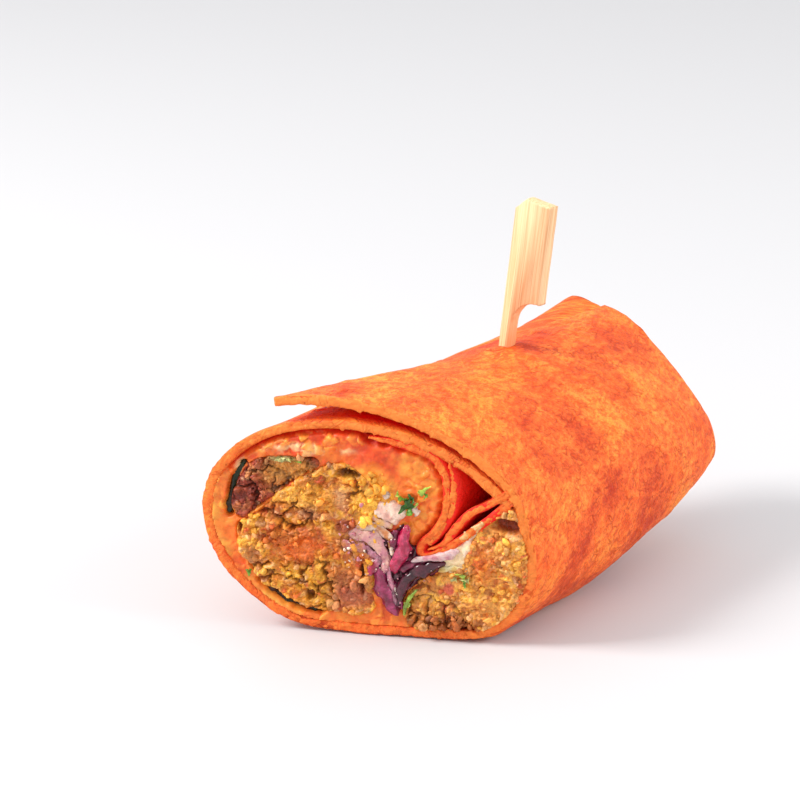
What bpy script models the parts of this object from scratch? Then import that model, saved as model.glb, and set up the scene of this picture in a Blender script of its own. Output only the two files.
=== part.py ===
"""Half of a falafel wrap, cut across on a slant and held shut by a flat bamboo pick.

One tortilla is rolled round the filling. Its free edge lies on top as a flap, a pleat of it is
pushed down into the filling, and the far end is tucked in and pressed flat.
Metres, +Z up. The roll lies along +Y with its cut at -Y. The origin is the middle of the
whole part's box, on the surface that the roll lies on.
"""
import math

import bmesh
import bpy
import numpy as np
from mathutils import Matrix

MM = 0.001

# The roll's section is an ellipse that leans clockwise and is flat where it rests.
BODY_CENTRE = (-18.2 * MM, 24.1 * MM)
BODY_HALF_WIDTH = 36.8 * MM
BODY_HALF_HEIGHT = 26.6 * MM
BODY_LEAN = math.radians(16.4)

# Towards the tail the section leans further and is pressed flat. NARROWING and RISE are how late
# it does so: the width and lean change first, and the underside lifts off last.
TAIL_CENTRE = (-9.2 * MM, 36.6 * MM)
TAIL_HALF_WIDTH = 28.2 * MM
TAIL_HALF_HEIGHT = 7.2 * MM
TAIL_LEAN = math.radians(36.0)
TAPER_START = 0.18
NARROWING = 1.4
RISE = 2.6

# The cut leans back by CUT_BIAS, and the tail ends on a plane of its own.
CUT_BIAS = math.radians(22.0)
TAIL_LENGTH = 102.0 * MM
TAIL_SLOPE_X = -0.05
TAIL_SLOPE_Z = 0.12
CENTRE_X = -18.2 * MM
CENTRE_Y = 41.45 * MM

# The tortilla, from its free edge on top, clockwise once round to the fold under the flap.
SHEET = 2.4 * MM
FREE_EDGE_ANGLE = math.radians(133.0)
HINGE_ANGLE = math.radians(26.0)
STEP_ANGLE = math.radians(51.0)
SHEET_END_ANGLE = math.radians(52.0 - 360.0)
FLAP_STEP = 2.8 * MM
FLAP_OPENING = 3.8 * MM
FLAP_CURL = 1.3
FLAP_CLOSED_AT = 0.4
SHEET_STEPS = 56

# The pleat: two thin layers that hang from the top into the filling and turn up to the right.
PLEAT = 1.8 * MM

GAP = 0.3 * MM
FILLING_END = 0.80
LEAF_END = 0.60
SAUCE_END = 0.45
HERB_END = 0.12
PLEAT_END = 0.60
TUCK_START = 0.806
TUCK_END = 0.985
STATIONS = (0.0, 0.14, 0.28, 0.42, 0.55, 0.68, 0.80, 0.88, 0.95, 1.0)
CUTTER_START = -0.05
PLEAT_STAGGER = 0.2
CUTTER_END = 0.86
KNIFE_SIZE = 200.0 * MM
SLIVER = 0.01 * MM

# The pick: a square shank under a flat blade that is wider on one side.
PICK_THICKNESS = 3.2 * MM
PICK_SHANK = 3.2 * MM
PICK_BLADE = 10.9 * MM
PICK_BLADE_HEIGHT = 25.5 * MM
PICK_SHOULDER = 7.2 * MM
PICK_CHAMFER = 3.2 * MM
PICK_CURVE_STEPS = 6
PICK_POINT = 8.0 * MM
PICK_TOP = 94.5 * MM
PICK_BOTTOM = 17.0 * MM
PICK_X = -20.4 * MM
PICK_Y = 57.0 * MM
PICK_ENTRY_Z = 58.0 * MM
PICK_LEAN = math.radians(8.0)
PICK_TURN = math.radians(-8.0)
HOLE_TOP = 64.0 * MM


def mm(*points):
    """Points given in millimetres, as an array in metres."""
    return np.array(points, dtype=float) * MM


# Outlines in the cut's section, (across, up), each clockwise or anticlockwise as it comes.
PLEAT_OUTER = mm((-18.0, 49.3), (-11.0, 47.8), (-5.0, 45.7), (-1.6, 41.8), (-0.8, 36.0),
                 (-1.4, 31.0), (-3.6, 26.9), (-6.2, 24.0), (-6.6, 21.6), (-4.4, 21.0),
                 (-0.4, 23.4), (4.2, 27.2), (8.4, 30.9), (11.6, 34.2))
PLEAT_ARM = mm((-0.4, 44.2), (0.5, 40.0), (0.5, 35.6), (-0.2, 31.4), (-2.3, 27.4), (-5.0, 24.0))
PLEAT_RETURN = mm((-5.0, 22.3), (-1.5, 24.3), (1.2, 28.4), (4.2, 32.1), (7.6, 34.0),
                  (10.6, 36.2))
FALAFEL_LEFT = mm((-48.4, 25.6), (-45.2, 27.6), (-41.2, 31.4), (-36.2, 36.0), (-31.2, 39.8),
                  (-26.0, 42.4), (-21.2, 41.4), (-17.6, 37.4), (-15.8, 33.0), (-16.2, 28.4),
                  (-17.4, 24.6), (-17.0, 20.6), (-16.2, 16.6), (-17.0, 11.6), (-16.6, 7.4),
                  (-19.0, 4.8), (-25.2, 4.7), (-31.6, 5.4), (-37.9, 8.6), (-43.8, 13.0),
                  (-47.6, 19.4))
FALAFEL_UPPER = mm((-49.2, 28.8), (-48.4, 34.2), (-46.2, 39.8), (-42.0, 42.8), (-36.0, 43.6),
                   (-30.0, 43.4), (-29.0, 40.8), (-33.4, 37.2), (-38.4, 33.0), (-43.2, 28.9),
                   (-46.8, 26.2))
FALAFEL_RIGHT = mm((8.6, 33.0), (13.6, 34.0), (18.6, 29.0), (20.0, 21.0), (18.4, 12.0),
                   (13.6, 5.0), (7.0, 1.0), (-0.6, -0.6), (-7.4, 0.4), (-9.8, 3.2),
                   (-11.4, 7.2), (-8.8, 12.8), (-3.2, 17.0), (1.6, 18.6), (3.6, 23.0),
                   (5.6, 28.6))
RED_CABBAGE = mm((-16.6, 25.6), (-13.0, 26.6), (-10.4, 28.8), (-9.6, 25.8), (-8.0, 23.2),
                 (-5.6, 22.0), (-2.4, 21.4), (-1.0, 17.6), (-4.8, 14.6), (-9.2, 11.2),
                 (-10.8, 6.4), (-13.0, 6.6), (-14.2, 11.6), (-17.4, 17.0), (-18.8, 21.4))
SAUCE_MIDDLE = mm((-16.8, 33.4), (-13.0, 34.2), (-9.6, 32.6), (-9.6, 30.0), (-12.2, 27.6),
                  (-17.0, 29.6))
SAUCE_RIGHT = mm((-3.2, 22.4), (0.6, 24.2), (3.6, 27.4), (6.8, 29.6), (5.2, 23.4), (3.4, 16.8),
                 (0.8, 16.4), (-2.4, 17.8))
HERB_MIDDLE = mm((-11.4, 35.4), (-8.6, 35.4), (-5.8, 37.6), (-5.0, 36.2), (-7.2, 33.8),
                 (-8.0, 31.0), (-9.8, 31.4), (-10.6, 33.4))
HERB_RIGHT = mm((1.0, 16.4), (3.2, 17.6), (5.0, 16.2), (4.0, 14.4), (1.8, 14.6))
LEAF_LEFT = mm((-50.2, 27.6), (-50.0, 32.4), (-48.8, 37.0), (-46.6, 41.2), (-45.4, 40.6),
               (-47.4, 36.4), (-48.6, 32.2), (-48.9, 28.0))
LEAF_LOWER = mm((-43.2, 11.6), (-39.0, 7.8), (-34.4, 5.4), (-28.6, 4.5), (-28.6, 5.7),
                (-34.2, 6.8), (-38.4, 9.0), (-42.2, 12.6))

# Each filling: name, outline at the cut, steps in its curve, colour, how far it runs along the
# roll, and whether it touches the sheet. Each gives way to those before it.
FILLINGS = (
    ("herb_right", HERB_RIGHT, 1, (0.15, 0.35, 0.05), HERB_END, False),
    ("herb_middle", HERB_MIDDLE, 1, (0.10, 0.30, 0.04), HERB_END, False),
    ("leaf_left", LEAF_LEFT, 1, (0.05, 0.10, 0.02), LEAF_END, False),
    ("leaf_lower", LEAF_LOWER, 1, (0.05, 0.10, 0.02), LEAF_END, False),
    ("sauce_middle", SAUCE_MIDDLE, 2, (0.85, 0.65, 0.60), SAUCE_END, False),
    ("sauce_right", SAUCE_RIGHT, 1, (0.90, 0.80, 0.60), FILLING_END, True),
    ("red_cabbage", RED_CABBAGE, 1, (0.30, 0.03, 0.20), FILLING_END, True),
    ("falafel_upper_left", FALAFEL_UPPER, 1, (0.25, 0.09, 0.05), FILLING_END, False),
    ("falafel_right", FALAFEL_RIGHT, 1, (0.60, 0.33, 0.08), FILLING_END, True),
    ("falafel_left", FALAFEL_LEFT, 1, (0.55, 0.27, 0.07), FILLING_END, True),
)


def section_at(t):
    """Centre, half width, half height and lean of the roll's section, 0 at the cut, 1 at the tail."""
    along = max(0.0, (t - TAPER_START) / (1.0 - TAPER_START))
    narrowing, rise = along ** NARROWING, along ** RISE
    centre = np.array((BODY_CENTRE[0] + (TAIL_CENTRE[0] - BODY_CENTRE[0]) * narrowing,
                       BODY_CENTRE[1] + (TAIL_CENTRE[1] - BODY_CENTRE[1]) * rise))
    half_width = BODY_HALF_WIDTH + (TAIL_HALF_WIDTH - BODY_HALF_WIDTH) * narrowing
    half_height = BODY_HALF_HEIGHT + (TAIL_HALF_HEIGHT - BODY_HALF_HEIGHT) * rise
    lean = BODY_LEAN + (TAIL_LEAN - BODY_LEAN) * narrowing
    return centre, half_width, half_height, lean


def turned(points, angle):
    """Points turned clockwise."""
    cosine, sine = math.cos(angle), math.sin(angle)
    across = points[:, 0] * cosine + points[:, 1] * sine
    up = points[:, 1] * cosine - points[:, 0] * sine
    return np.stack([across, up], axis=1)


def carried(points, t):
    """Points of the cut's section carried along the roll to the section at t."""
    start_centre, start_width, start_height, start_lean = section_at(0.0)
    centre, half_width, half_height, lean = section_at(t)
    flat = turned(points - start_centre, -start_lean)
    flat = flat * (half_width / start_width, half_height / start_height)
    return turned(flat, lean) + centre


def placed(points, t):
    """Section points at t as places in the part's frame."""
    across, up = points[:, 0], points[:, 1]
    at_cut = across * math.tan(CUT_BIAS)
    at_tail = (TAIL_LENGTH + TAIL_SLOPE_X * (across - TAIL_CENTRE[0])
               + TAIL_SLOPE_Z * (up - TAIL_CENTRE[1]))
    along = (1.0 - t) * at_cut + t * at_tail
    return np.stack([across - CENTRE_X, along - CENTRE_Y, up], axis=1)


def smooth_curve(points, steps, closed=False):
    """A Catmull-Rom curve through the points, with a number of steps between each two."""
    count = len(points)
    result = []
    for i in range(count if closed else count - 1):
        if closed:
            before, start, end, after = (points[(i + k) % count] for k in (-1, 0, 1, 2))
        else:
            before, start = points[max(i - 1, 0)], points[i]
            end, after = points[i + 1], points[min(i + 2, count - 1)]
        for step in range(steps):
            s = step / steps
            result.append(0.5 * (2 * start + (end - before) * s
                                 + (2 * before - 5 * start + 4 * end - after) * s ** 2
                                 + (3 * start - before - 3 * end + after) * s ** 3))
    if not closed:
        result.append(points[-1])
    return np.array(result)


def left_normals(points, closed):
    """Unit normals on the left-hand side of a path."""
    if closed:
        along = np.roll(points, -1, axis=0) - np.roll(points, 1, axis=0)
    else:
        along = np.gradient(points, axis=0)
    along /= np.linalg.norm(along, axis=1, keepdims=True)
    return np.stack([-along[:, 1], along[:, 0]], axis=1)


def grown(points, distance):
    """A closed outline moved outwards by a distance."""
    across, up = points[:, 0], points[:, 1]
    area = np.sum(across * np.roll(up, -1) - np.roll(across, -1) * up)
    outwards = -distance if area > 0 else distance
    return points + left_normals(points, closed=True) * outwards


def ribbon_ring(path, thickness):
    """The outline of a sheet that follows a path: one face out, the other one back."""
    side = left_normals(path, closed=False) * thickness / 2
    return np.concatenate([path + side, (path - side)[::-1]])


def flap_lift(angle, t):
    """How far the sheet stands off the roll at an angle: nothing, then the lifted flap."""
    closing = min(1.0, max(0.0, t / FLAP_CLOSED_AT))
    step = FLAP_STEP + (SHEET + GAP - FLAP_STEP) * closing
    opening = FLAP_OPENING * (1.0 - closing)
    hinge = HINGE_ANGLE * (1.0 - t)
    rise = min(1.0, max(0.0, (angle - hinge) / (STEP_ANGLE - hinge)))
    open_part = max(0.0, (angle - STEP_ANGLE) / (FREE_EDGE_ANGLE - STEP_ANGLE))
    return step * rise * rise * (3 - 2 * rise) + opening * open_part ** FLAP_CURL


def sheet_path(t):
    """The middle line of the rolled sheet at t, from the free edge to the fold."""
    centre, half_width, half_height, lean = section_at(t)
    points = []
    for angle in np.linspace(FREE_EDGE_ANGLE, SHEET_END_ANGLE, SHEET_STEPS + 1):
        on_ellipse = np.array((half_width * math.cos(angle), half_height * math.sin(angle)))
        normal = np.array((math.cos(angle) / half_width, math.sin(angle) / half_height))
        normal /= np.linalg.norm(normal)
        points.append(on_ellipse + normal * flap_lift(angle, t))
    path = turned(np.array(points), lean) + centre
    path[:, 1] = np.maximum(path[:, 1], SHEET / 2)
    return path


def pleat_path(points, t):
    """The middle line of one layer of the pleat at t."""
    return smooth_curve(carried(points, t), 2)


def room_sides(t):
    """The two faces that bound the filling at t: the sheet's inner one and the pleat's lower one."""
    path = sheet_path(t)
    inner = path - left_normals(path, closed=False) * (SHEET / 2 + GAP)
    pleat = pleat_path(PLEAT_OUTER, t)
    under = pleat - left_normals(pleat, closed=False) * (PLEAT / 2 + GAP)
    return inner, under


def room_outline(t):
    """The room for the filling at t: inside the sheet, and under the pleat."""
    inner, under = room_sides(0.0)
    half = SHEET_STEPS // 2
    right = 1 + np.argmin(np.linalg.norm(inner[:half] - under[-1], axis=1))
    top = half + np.argmin(np.linalg.norm(inner[half:] - under[0], axis=1))
    inner, under = room_sides(t)
    return np.concatenate([inner[right:top], under[:-1]])


def tuck_outline(t):
    """The tucked end's outline at t, reaching a little way into the sheet round it."""
    path = sheet_path(t)
    inner = path - left_normals(path, closed=False) * SHEET / 4
    first = int(SHEET_STEPS * (FREE_EDGE_ANGLE - HINGE_ANGLE)
                / (FREE_EDGE_ANGLE - SHEET_END_ANGLE)) + 1
    return inner[first:]


def between(start, end):
    """The stations from start to end, with both ends."""
    inside = [t for t in STATIONS if start < t < end]
    return [start] + inside + [end]


def new_collection(name):
    collection = bpy.data.collections.new(name)
    bpy.context.scene.collection.children.link(collection)
    return collection


def add_material(obj, name, colour, roughness):
    material = bpy.data.materials.new(name)
    material.use_nodes = True
    shader = material.node_tree.nodes["Principled BSDF"]
    shader.inputs["Base Color"].default_value = (*colour, 1.0)
    shader.inputs["Roughness"].default_value = roughness
    obj.data.materials.append(material)


def loft(name, rings, collection, strip_ends=False):
    """A closed body through rings of points; the ends are faces, or strips between two sides."""
    mesh = bpy.data.meshes.new(name)
    body = bmesh.new()
    rows = [[body.verts.new(point) for point in ring] for ring in rings]
    count = len(rings[0])
    for row, following in zip(rows, rows[1:]):
        for i in range(count):
            j = (i + 1) % count
            body.faces.new((row[i], row[j], following[j], following[i]))
    for row in (rows[0], rows[-1]):
        if strip_ends:
            for i in range(count // 2 - 1):
                body.faces.new((row[i], row[i + 1], row[-2 - i], row[-1 - i]))
        else:
            body.faces.new(row)
    bmesh.ops.recalc_face_normals(body, faces=body.faces)
    body.to_mesh(mesh)
    body.free()
    obj = bpy.data.objects.new(name, mesh)
    collection.objects.link(obj)
    return obj


def combine(target, other, operation):
    """An exact Boolean of target with another object, or with every object in a collection."""
    modifier = target.modifiers.new(operation.title(), "BOOLEAN")
    modifier.operation = operation
    modifier.solver = "EXACT"
    if isinstance(other, bpy.types.Collection):
        modifier.operand_type = "COLLECTION"
        modifier.collection = other
    else:
        modifier.object = other
    bpy.context.view_layer.update()
    settle(target)


def combine_all(target, others, operation):
    """One Boolean of target with several objects at once."""
    group = bpy.data.collections.new(f"{target.name}_{operation.lower()}")
    for other in others:
        group.objects.link(other)
    combine(target, group, operation)


def settle(obj):
    """Apply the object's Booleans, and close up the slivers that they leave."""
    evaluated = obj.evaluated_get(bpy.context.evaluated_depsgraph_get())
    mesh = bpy.data.meshes.new_from_object(evaluated)
    body = bmesh.new()
    body.from_mesh(mesh)
    bmesh.ops.remove_doubles(body, verts=body.verts, dist=SLIVER)
    bmesh.ops.dissolve_degenerate(body, edges=body.edges, dist=SLIVER)
    loose = [edge for edge in body.edges if not edge.link_faces]
    bmesh.ops.delete(body, geom=loose, context="EDGES")
    bmesh.ops.triangulate(body, faces=body.faces)
    body.to_mesh(mesh)
    body.free()
    obj.modifiers.clear()
    obj.data = mesh


def move_to(obj, collection):
    for old in obj.users_collection:
        old.objects.unlink(obj)
    collection.objects.link(obj)


def as_guide(obj):
    obj.hide_render = True
    obj.display_type = "WIRE"
    return obj


def make_knife(guides):
    """A block whose far face lies in the cut."""
    bpy.ops.mesh.primitive_cube_add(size=KNIFE_SIZE)
    knife = bpy.context.object
    knife.name = "knife"
    knife.data.transform(Matrix.Translation((0.0, -KNIFE_SIZE / 2, 0.0)))
    knife.location = (-CENTRE_X, -CENTRE_Y, 0.0)
    knife.rotation_euler = (0.0, 0.0, CUT_BIAS)
    move_to(knife, guides)
    return as_guide(knife)


def make_tortilla(parts, guides, hole):
    """The rolled sheet, joined with the layers of its pleat and its tucked end, then cut."""
    sheet_rings = [placed(ribbon_ring(sheet_path(t), SHEET), t)
                   for t in between(CUTTER_START, 1.0)]
    sheet = loft("tortilla", sheet_rings, parts, strip_ends=True)
    folds = []
    for number, points in enumerate((PLEAT_OUTER, PLEAT_ARM, PLEAT_RETURN), start=1):
        start = CUTTER_START * (1.0 - PLEAT_STAGGER * number)
        rings = [placed(ribbon_ring(pleat_path(points, t), PLEAT), t)
                 for t in between(start, PLEAT_END)]
        folds.append(as_guide(loft(f"pleat_{number}", rings, guides, strip_ends=True)))
    combine_all(sheet, folds, "UNION")
    tuck_rings = [placed(tuck_outline(t), t) for t in between(TUCK_START, TUCK_END)]
    combine(sheet, as_guide(loft("tucked_end", tuck_rings, guides)), "UNION")
    combine_all(sheet, [make_knife(guides), hole], "DIFFERENCE")
    return sheet


def make_filling(name, outline, steps, end, parts):
    """One filling: its outline at the cut, carried along the roll."""
    curve = smooth_curve(outline, steps, closed=True)
    rings = [placed(carried(curve, t), t) for t in between(0.0, end)]
    return loft(name, rings, parts)


def make_cutter(name, outline, steps, end, guides):
    """The same filling with a gap all round, reaching past both of its ends."""
    curve = smooth_curve(outline, steps, closed=True)
    stations = between(CUTTER_START, end) + [end + CUTTER_END - FILLING_END]
    rings = [placed(grown(carried(curve, t), GAP), t) for t in stations]
    return as_guide(loft(name + "_clearance", rings, guides))


def make_pick(parts):
    """The bamboo pick, a flat outline of even thickness with one hollow shoulder."""
    blade_bottom = PICK_TOP - PICK_BLADE_HEIGHT
    outline = [(PICK_SHANK * 0.5, PICK_BOTTOM), (PICK_SHANK, PICK_BOTTOM + PICK_POINT)]
    reach = PICK_BLADE - PICK_SHANK
    for step in range(PICK_CURVE_STEPS + 1):
        turn = math.radians(90.0) * step / PICK_CURVE_STEPS
        outline.append((PICK_SHANK + reach * (1 - math.cos(turn)),
                        blade_bottom - PICK_SHOULDER * (1 - math.sin(turn))))
    outline += [(PICK_BLADE, PICK_TOP), (PICK_CHAMFER, PICK_TOP),
                (0.0, PICK_TOP - PICK_CHAMFER), (0.0, PICK_BOTTOM + PICK_POINT)]
    curve = bpy.data.curves.new("pick_outline", "CURVE")
    curve.dimensions = "2D"
    curve.fill_mode = "BOTH"
    curve.extrude = PICK_THICKNESS / 2
    spline = curve.splines.new("POLY")
    spline.points.add(len(outline) - 1)
    for point, (across, up) in zip(spline.points, outline):
        point.co = (across - PICK_SHANK / 2, up - PICK_ENTRY_Z, 0.0, 1.0)
    spline.use_cyclic_u = True
    flat = bpy.data.objects.new("pick_outline", curve)
    parts.objects.link(flat)
    bpy.context.view_layer.update()
    evaluated = flat.evaluated_get(bpy.context.evaluated_depsgraph_get())
    mesh = bpy.data.meshes.new_from_object(evaluated)
    bpy.data.objects.remove(flat)
    body = bmesh.new()
    body.from_mesh(mesh)
    bmesh.ops.remove_doubles(body, verts=body.verts, dist=SLIVER)
    bmesh.ops.recalc_face_normals(body, faces=body.faces)
    body.to_mesh(mesh)
    body.free()
    pick = bpy.data.objects.new("pick", mesh)
    parts.objects.link(pick)
    stand_like_pick(pick)
    return pick


def stand_like_pick(obj):
    """The pick's place and lean, with its outline upright and facing the cut."""
    obj.location = (PICK_X - CENTRE_X, PICK_Y - CENTRE_Y, PICK_ENTRY_Z)
    obj.rotation_euler = (math.radians(90.0), PICK_LEAN, PICK_TURN)


def make_pick_hole(guides):
    """The room that the pick's shank takes up in what it goes through."""
    bottom = PICK_BOTTOM - GAP
    bpy.ops.mesh.primitive_cube_add(size=1.0)
    hole = bpy.context.object
    hole.name = "pick_hole"
    middle = (bottom + HOLE_TOP) / 2 - PICK_ENTRY_Z
    size = (PICK_SHANK + 2 * GAP, HOLE_TOP - bottom, PICK_THICKNESS + 2 * GAP)
    for vertex in hole.data.vertices:
        vertex.co = [c * s for c, s in zip(vertex.co, size)]
        vertex.co.y += middle
    stand_like_pick(hole)
    move_to(hole, guides)
    return as_guide(hole)


def main():
    for obj in list(bpy.data.objects):
        bpy.data.objects.remove(obj)
    parts = new_collection("falafel_wrap")
    guides = new_collection("guides")
    hole = make_pick_hole(guides)
    tortilla = make_tortilla(parts, guides, hole)
    add_material(tortilla, "tomato_tortilla", (0.85, 0.25, 0.05), 0.6)
    room_rings = [placed(room_outline(t), t) for t in between(CUTTER_START, CUTTER_END)]
    room = as_guide(loft("room", room_rings, guides))
    cutters = [hole]
    for name, outline, steps, colour, end, at_wall in FILLINGS:
        filling = make_filling(name, outline, steps, end, parts)
        add_material(filling, name, colour, 0.7)
        if at_wall:
            combine(filling, room, "INTERSECT")
        combine_all(filling, cutters, "DIFFERENCE")
        cutters.append(make_cutter(name, outline, steps, end, guides))
    spread_rings = [placed(room_outline(t), t) for t in between(0.0, FILLING_END)]
    spread = loft("orange_spread", spread_rings, parts)
    add_material(spread, "orange_spread", (0.90, 0.42, 0.08), 0.4)
    combine_all(spread, cutters, "DIFFERENCE")
    pick = make_pick(parts)
    add_material(pick, "bamboo", (0.86, 0.70, 0.42), 0.5)


main()
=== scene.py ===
"""Half of a falafel wrap, seen from its cut: the looks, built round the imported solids."""
import math

import bmesh
import bpy
import numpy as np
from mathutils import Euler, Matrix, Vector


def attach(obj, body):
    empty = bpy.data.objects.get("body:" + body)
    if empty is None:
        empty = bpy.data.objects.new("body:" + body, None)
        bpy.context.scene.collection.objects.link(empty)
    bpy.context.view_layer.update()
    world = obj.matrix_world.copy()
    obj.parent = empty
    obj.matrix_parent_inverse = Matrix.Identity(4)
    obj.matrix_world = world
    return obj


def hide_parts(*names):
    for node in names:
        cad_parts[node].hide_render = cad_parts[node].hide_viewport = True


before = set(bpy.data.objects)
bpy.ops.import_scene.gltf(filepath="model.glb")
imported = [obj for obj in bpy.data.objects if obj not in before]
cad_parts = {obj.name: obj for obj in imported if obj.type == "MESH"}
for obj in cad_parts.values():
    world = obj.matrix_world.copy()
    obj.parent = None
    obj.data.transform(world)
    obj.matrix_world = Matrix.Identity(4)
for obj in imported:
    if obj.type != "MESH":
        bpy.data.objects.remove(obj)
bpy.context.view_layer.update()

scene = bpy.context.scene


# ---- Camera -------------------------------------------------------------------------------
# A long lens a little above the food, turned so that it looks along the roll from the right
# of its cut.
camera_data = bpy.data.cameras.new("camera")
camera_data.lens = 144.0
camera_data.sensor_width = 36.0
camera_data.clip_end = 10.0
camera = bpy.data.objects.new("camera", camera_data)
camera.location = (0.4009, -0.6299, 0.278)
camera.rotation_euler = (math.radians(72.7), 0.0, math.radians(34.0))
scene.collection.objects.link(camera)
scene.camera = camera


# ---- Tortilla: the roll -------------------------------------------------------------------
# A soft wheat tortilla coloured with tomato, rolled once round the filling. Its free edge
# lies open on top as a flap, and its far end is tucked in and pressed flat.
# All sizes are in millimetres until a mesh is made.

# Where the roll's section sits in the part's frame, its shape at the cut (BODY) and at the far
# end (TAIL), and how it passes from one to the other.
CENTRE_X, CENTRE_Y = -18.2, 41.45
BODY_CENTRE, BODY_HALF_WIDTH, BODY_HALF_HEIGHT = (-18.2, 24.1), 36.8, 26.6
TAIL_CENTRE, TAIL_HALF_WIDTH, TAIL_HALF_HEIGHT = (-9.2, 36.6), 28.2, 7.2
BODY_LEAN, TAIL_LEAN = math.radians(16.4), math.radians(36.0)
TAPER_START, NARROWING, RISE = 0.18, 1.4, 2.6
# The slant of the cut, and where the far end lies.
CUT_ANGLE = math.radians(22.0)
CUT_SLOPE = math.tan(CUT_ANGLE)
CUT_NORMAL = np.array((math.sin(CUT_ANGLE), -math.cos(CUT_ANGLE), 0.0))
TAIL_LENGTH, TAIL_SLOPE_X, TAIL_SLOPE_Z = 102.0, -0.05, 0.12
# The sheet's thickness, its path round the section from its free edge, and how its flap lifts.
SHEET = 2.4
FREE_EDGE, HINGE, STEP, SHEET_END = (math.radians(a) for a in (133.0, 26.0, 51.0, -315.0))
FLAP_STEP, FLAP_OPENING, FLAP_CURL, FLAP_CLOSED_AT = 2.8, 3.8, 1.3, 0.4
# How softly it settles on the floor and how close, and how far round its outer face it goes
# under the flap.
SETTLE, FLOOR_GAP = 2.2, 0.1
UNDER_FLAP = 0.83
# How far apart the slack in the dough, its blisters and its creases are.
SLACK_SIZES, BLISTER_SIZE, CREASE_SIZE = (24.0, 9.0), 4.5, (4.5, 1.3)
# Where the skin is darker and redder, more or less, from toasting and from painted shade low
# on its right side and along the top by the pick: x, y, z, how far it reaches, and how much.
TOAST_AND_SHADE_AT = ((-10, 2, 56, 10, 0.5), (-5, 20, 56, 12, 0.85), (8, 42, 53, 12, 0.6),
              (18, 46, 47, 9, 0.25), (30, -1, 41, 6, 0.25), (30, 14, 42, 8, 0.15),
              (37, -2, 26, 10, 0.25), (36, -14, 8, 12, 0.4), (36, 20, 11, 16, 0.65),
              (28, 39, 40, 8, -0.4), (8, -11, 54, 9, -0.15), (34, -18, 36, 9, -0.15))
# How many steps the mesh has across the sheet outside and inside, and along the roll.
ROLL_ACROSS, ROLL_INSIDE, ROLL_ALONG = 400, 130, 150


def section_at(t):
    """Centre, half width, half height and lean of the section, 0 at the cut and 1 at the tail."""
    along = np.clip((np.asarray(t, dtype=float) - TAPER_START) / (1.0 - TAPER_START), 0.0, None)
    narrow, rise = along ** NARROWING, along ** RISE
    return (BODY_CENTRE[0] + (TAIL_CENTRE[0] - BODY_CENTRE[0]) * narrow,
            BODY_CENTRE[1] + (TAIL_CENTRE[1] - BODY_CENTRE[1]) * rise,
            BODY_HALF_WIDTH + (TAIL_HALF_WIDTH - BODY_HALF_WIDTH) * narrow,
            BODY_HALF_HEIGHT + (TAIL_HALF_HEIGHT - BODY_HALF_HEIGHT) * rise,
            BODY_LEAN + (TAIL_LEAN - BODY_LEAN) * narrow)


def turned(across, up, angle):
    """Section places turned clockwise."""
    return (across * np.cos(angle) + up * np.sin(angle),
            up * np.cos(angle) - across * np.sin(angle))


def carried(points, t):
    """Places in the cut's section carried along the roll to the section at t."""
    start_x, start_z, start_width, start_height, start_lean = section_at(0.0)
    x, z, width, height, lean = section_at(t)
    across, up = turned(points[..., 0] - start_x, points[..., 1] - start_z, -start_lean)
    across, up = turned(across * width / start_width, up * height / start_height, lean)
    return np.stack([across + x, up + z], axis=-1)


def placed(points, t):
    """Section places at t as places in the part's frame."""
    across, up = points[..., 0], points[..., 1]
    tail = (TAIL_LENGTH + TAIL_SLOPE_X * (across - TAIL_CENTRE[0])
            + TAIL_SLOPE_Z * (up - TAIL_CENTRE[1]))
    along = (1.0 - t) * across * CUT_SLOPE + t * tail
    return np.stack([across - CENTRE_X, along - CENTRE_Y, up], axis=-1)


def left_normals(points, closed=False):
    """Unit normals on the left-hand side of a path of section places."""
    if closed:
        along = np.roll(points, -1, axis=0) - np.roll(points, 1, axis=0)
    else:
        along = np.gradient(points, axis=0)
    along = along / np.linalg.norm(along, axis=1, keepdims=True)
    return np.stack([-along[:, 1], along[:, 0]], axis=1)


def run_along(path):
    """How far along a path each of its points lies."""
    return np.concatenate([[0.0], np.cumsum(np.linalg.norm(np.diff(path, axis=0), axis=1))])


def sheet_path(t, steps):
    """The sheet's middle line at t, from its free edge round to where it ends under the flap."""
    x, z, width, height, lean = section_at(t)
    angle = np.linspace(FREE_EDGE, SHEET_END, steps + 1)
    closing = min(1.0, max(0.0, t / FLAP_CLOSED_AT))
    hinge = HINGE * (1.0 - t)
    step = FLAP_STEP + (SHEET + 0.3 - FLAP_STEP) * closing
    rise = np.clip((angle - hinge) / (STEP - hinge), 0.0, 1.0)
    opened = np.clip((angle - STEP) / (FREE_EDGE - STEP), 0.0, None) ** FLAP_CURL
    lift = step * rise * rise * (3 - 2 * rise) + FLAP_OPENING * (1.0 - closing) * opened
    normal = np.stack([np.cos(angle) / width, np.sin(angle) / height], axis=1)
    normal /= np.linalg.norm(normal, axis=1, keepdims=True)
    across = width * np.cos(angle) + normal[:, 0] * lift
    up = height * np.sin(angle) + normal[:, 1] * lift
    across, up = turned(across, up, lean)
    # It settles on the floor in a soft curve.
    above = up + z - SHEET / 2 - FLOOR_GAP
    up = SHEET / 2 + FLOOR_GAP + (above + np.sqrt(above ** 2 + SETTLE ** 2)) / 2
    return np.stack([across + x, up], axis=1)


def chance(cells, seed):
    """A repeatable number from 0 to 1 for each row of whole numbers."""
    hashed = np.full(cells.shape[0], 0x9E3779B97F4A7C15 ^ (seed * 0x51ED2701), dtype=np.uint64)
    for column in cells.T:
        hashed ^= column.astype(np.int64).view(np.uint64)
        hashed *= np.uint64(0xBF58476D1CE4E5B9)
        hashed ^= hashed >> np.uint64(29)
        hashed *= np.uint64(0x94D049BB133111EB)
        hashed ^= hashed >> np.uint64(31)
    return (hashed >> np.uint64(11)).astype(float) / 2.0 ** 53


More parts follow.
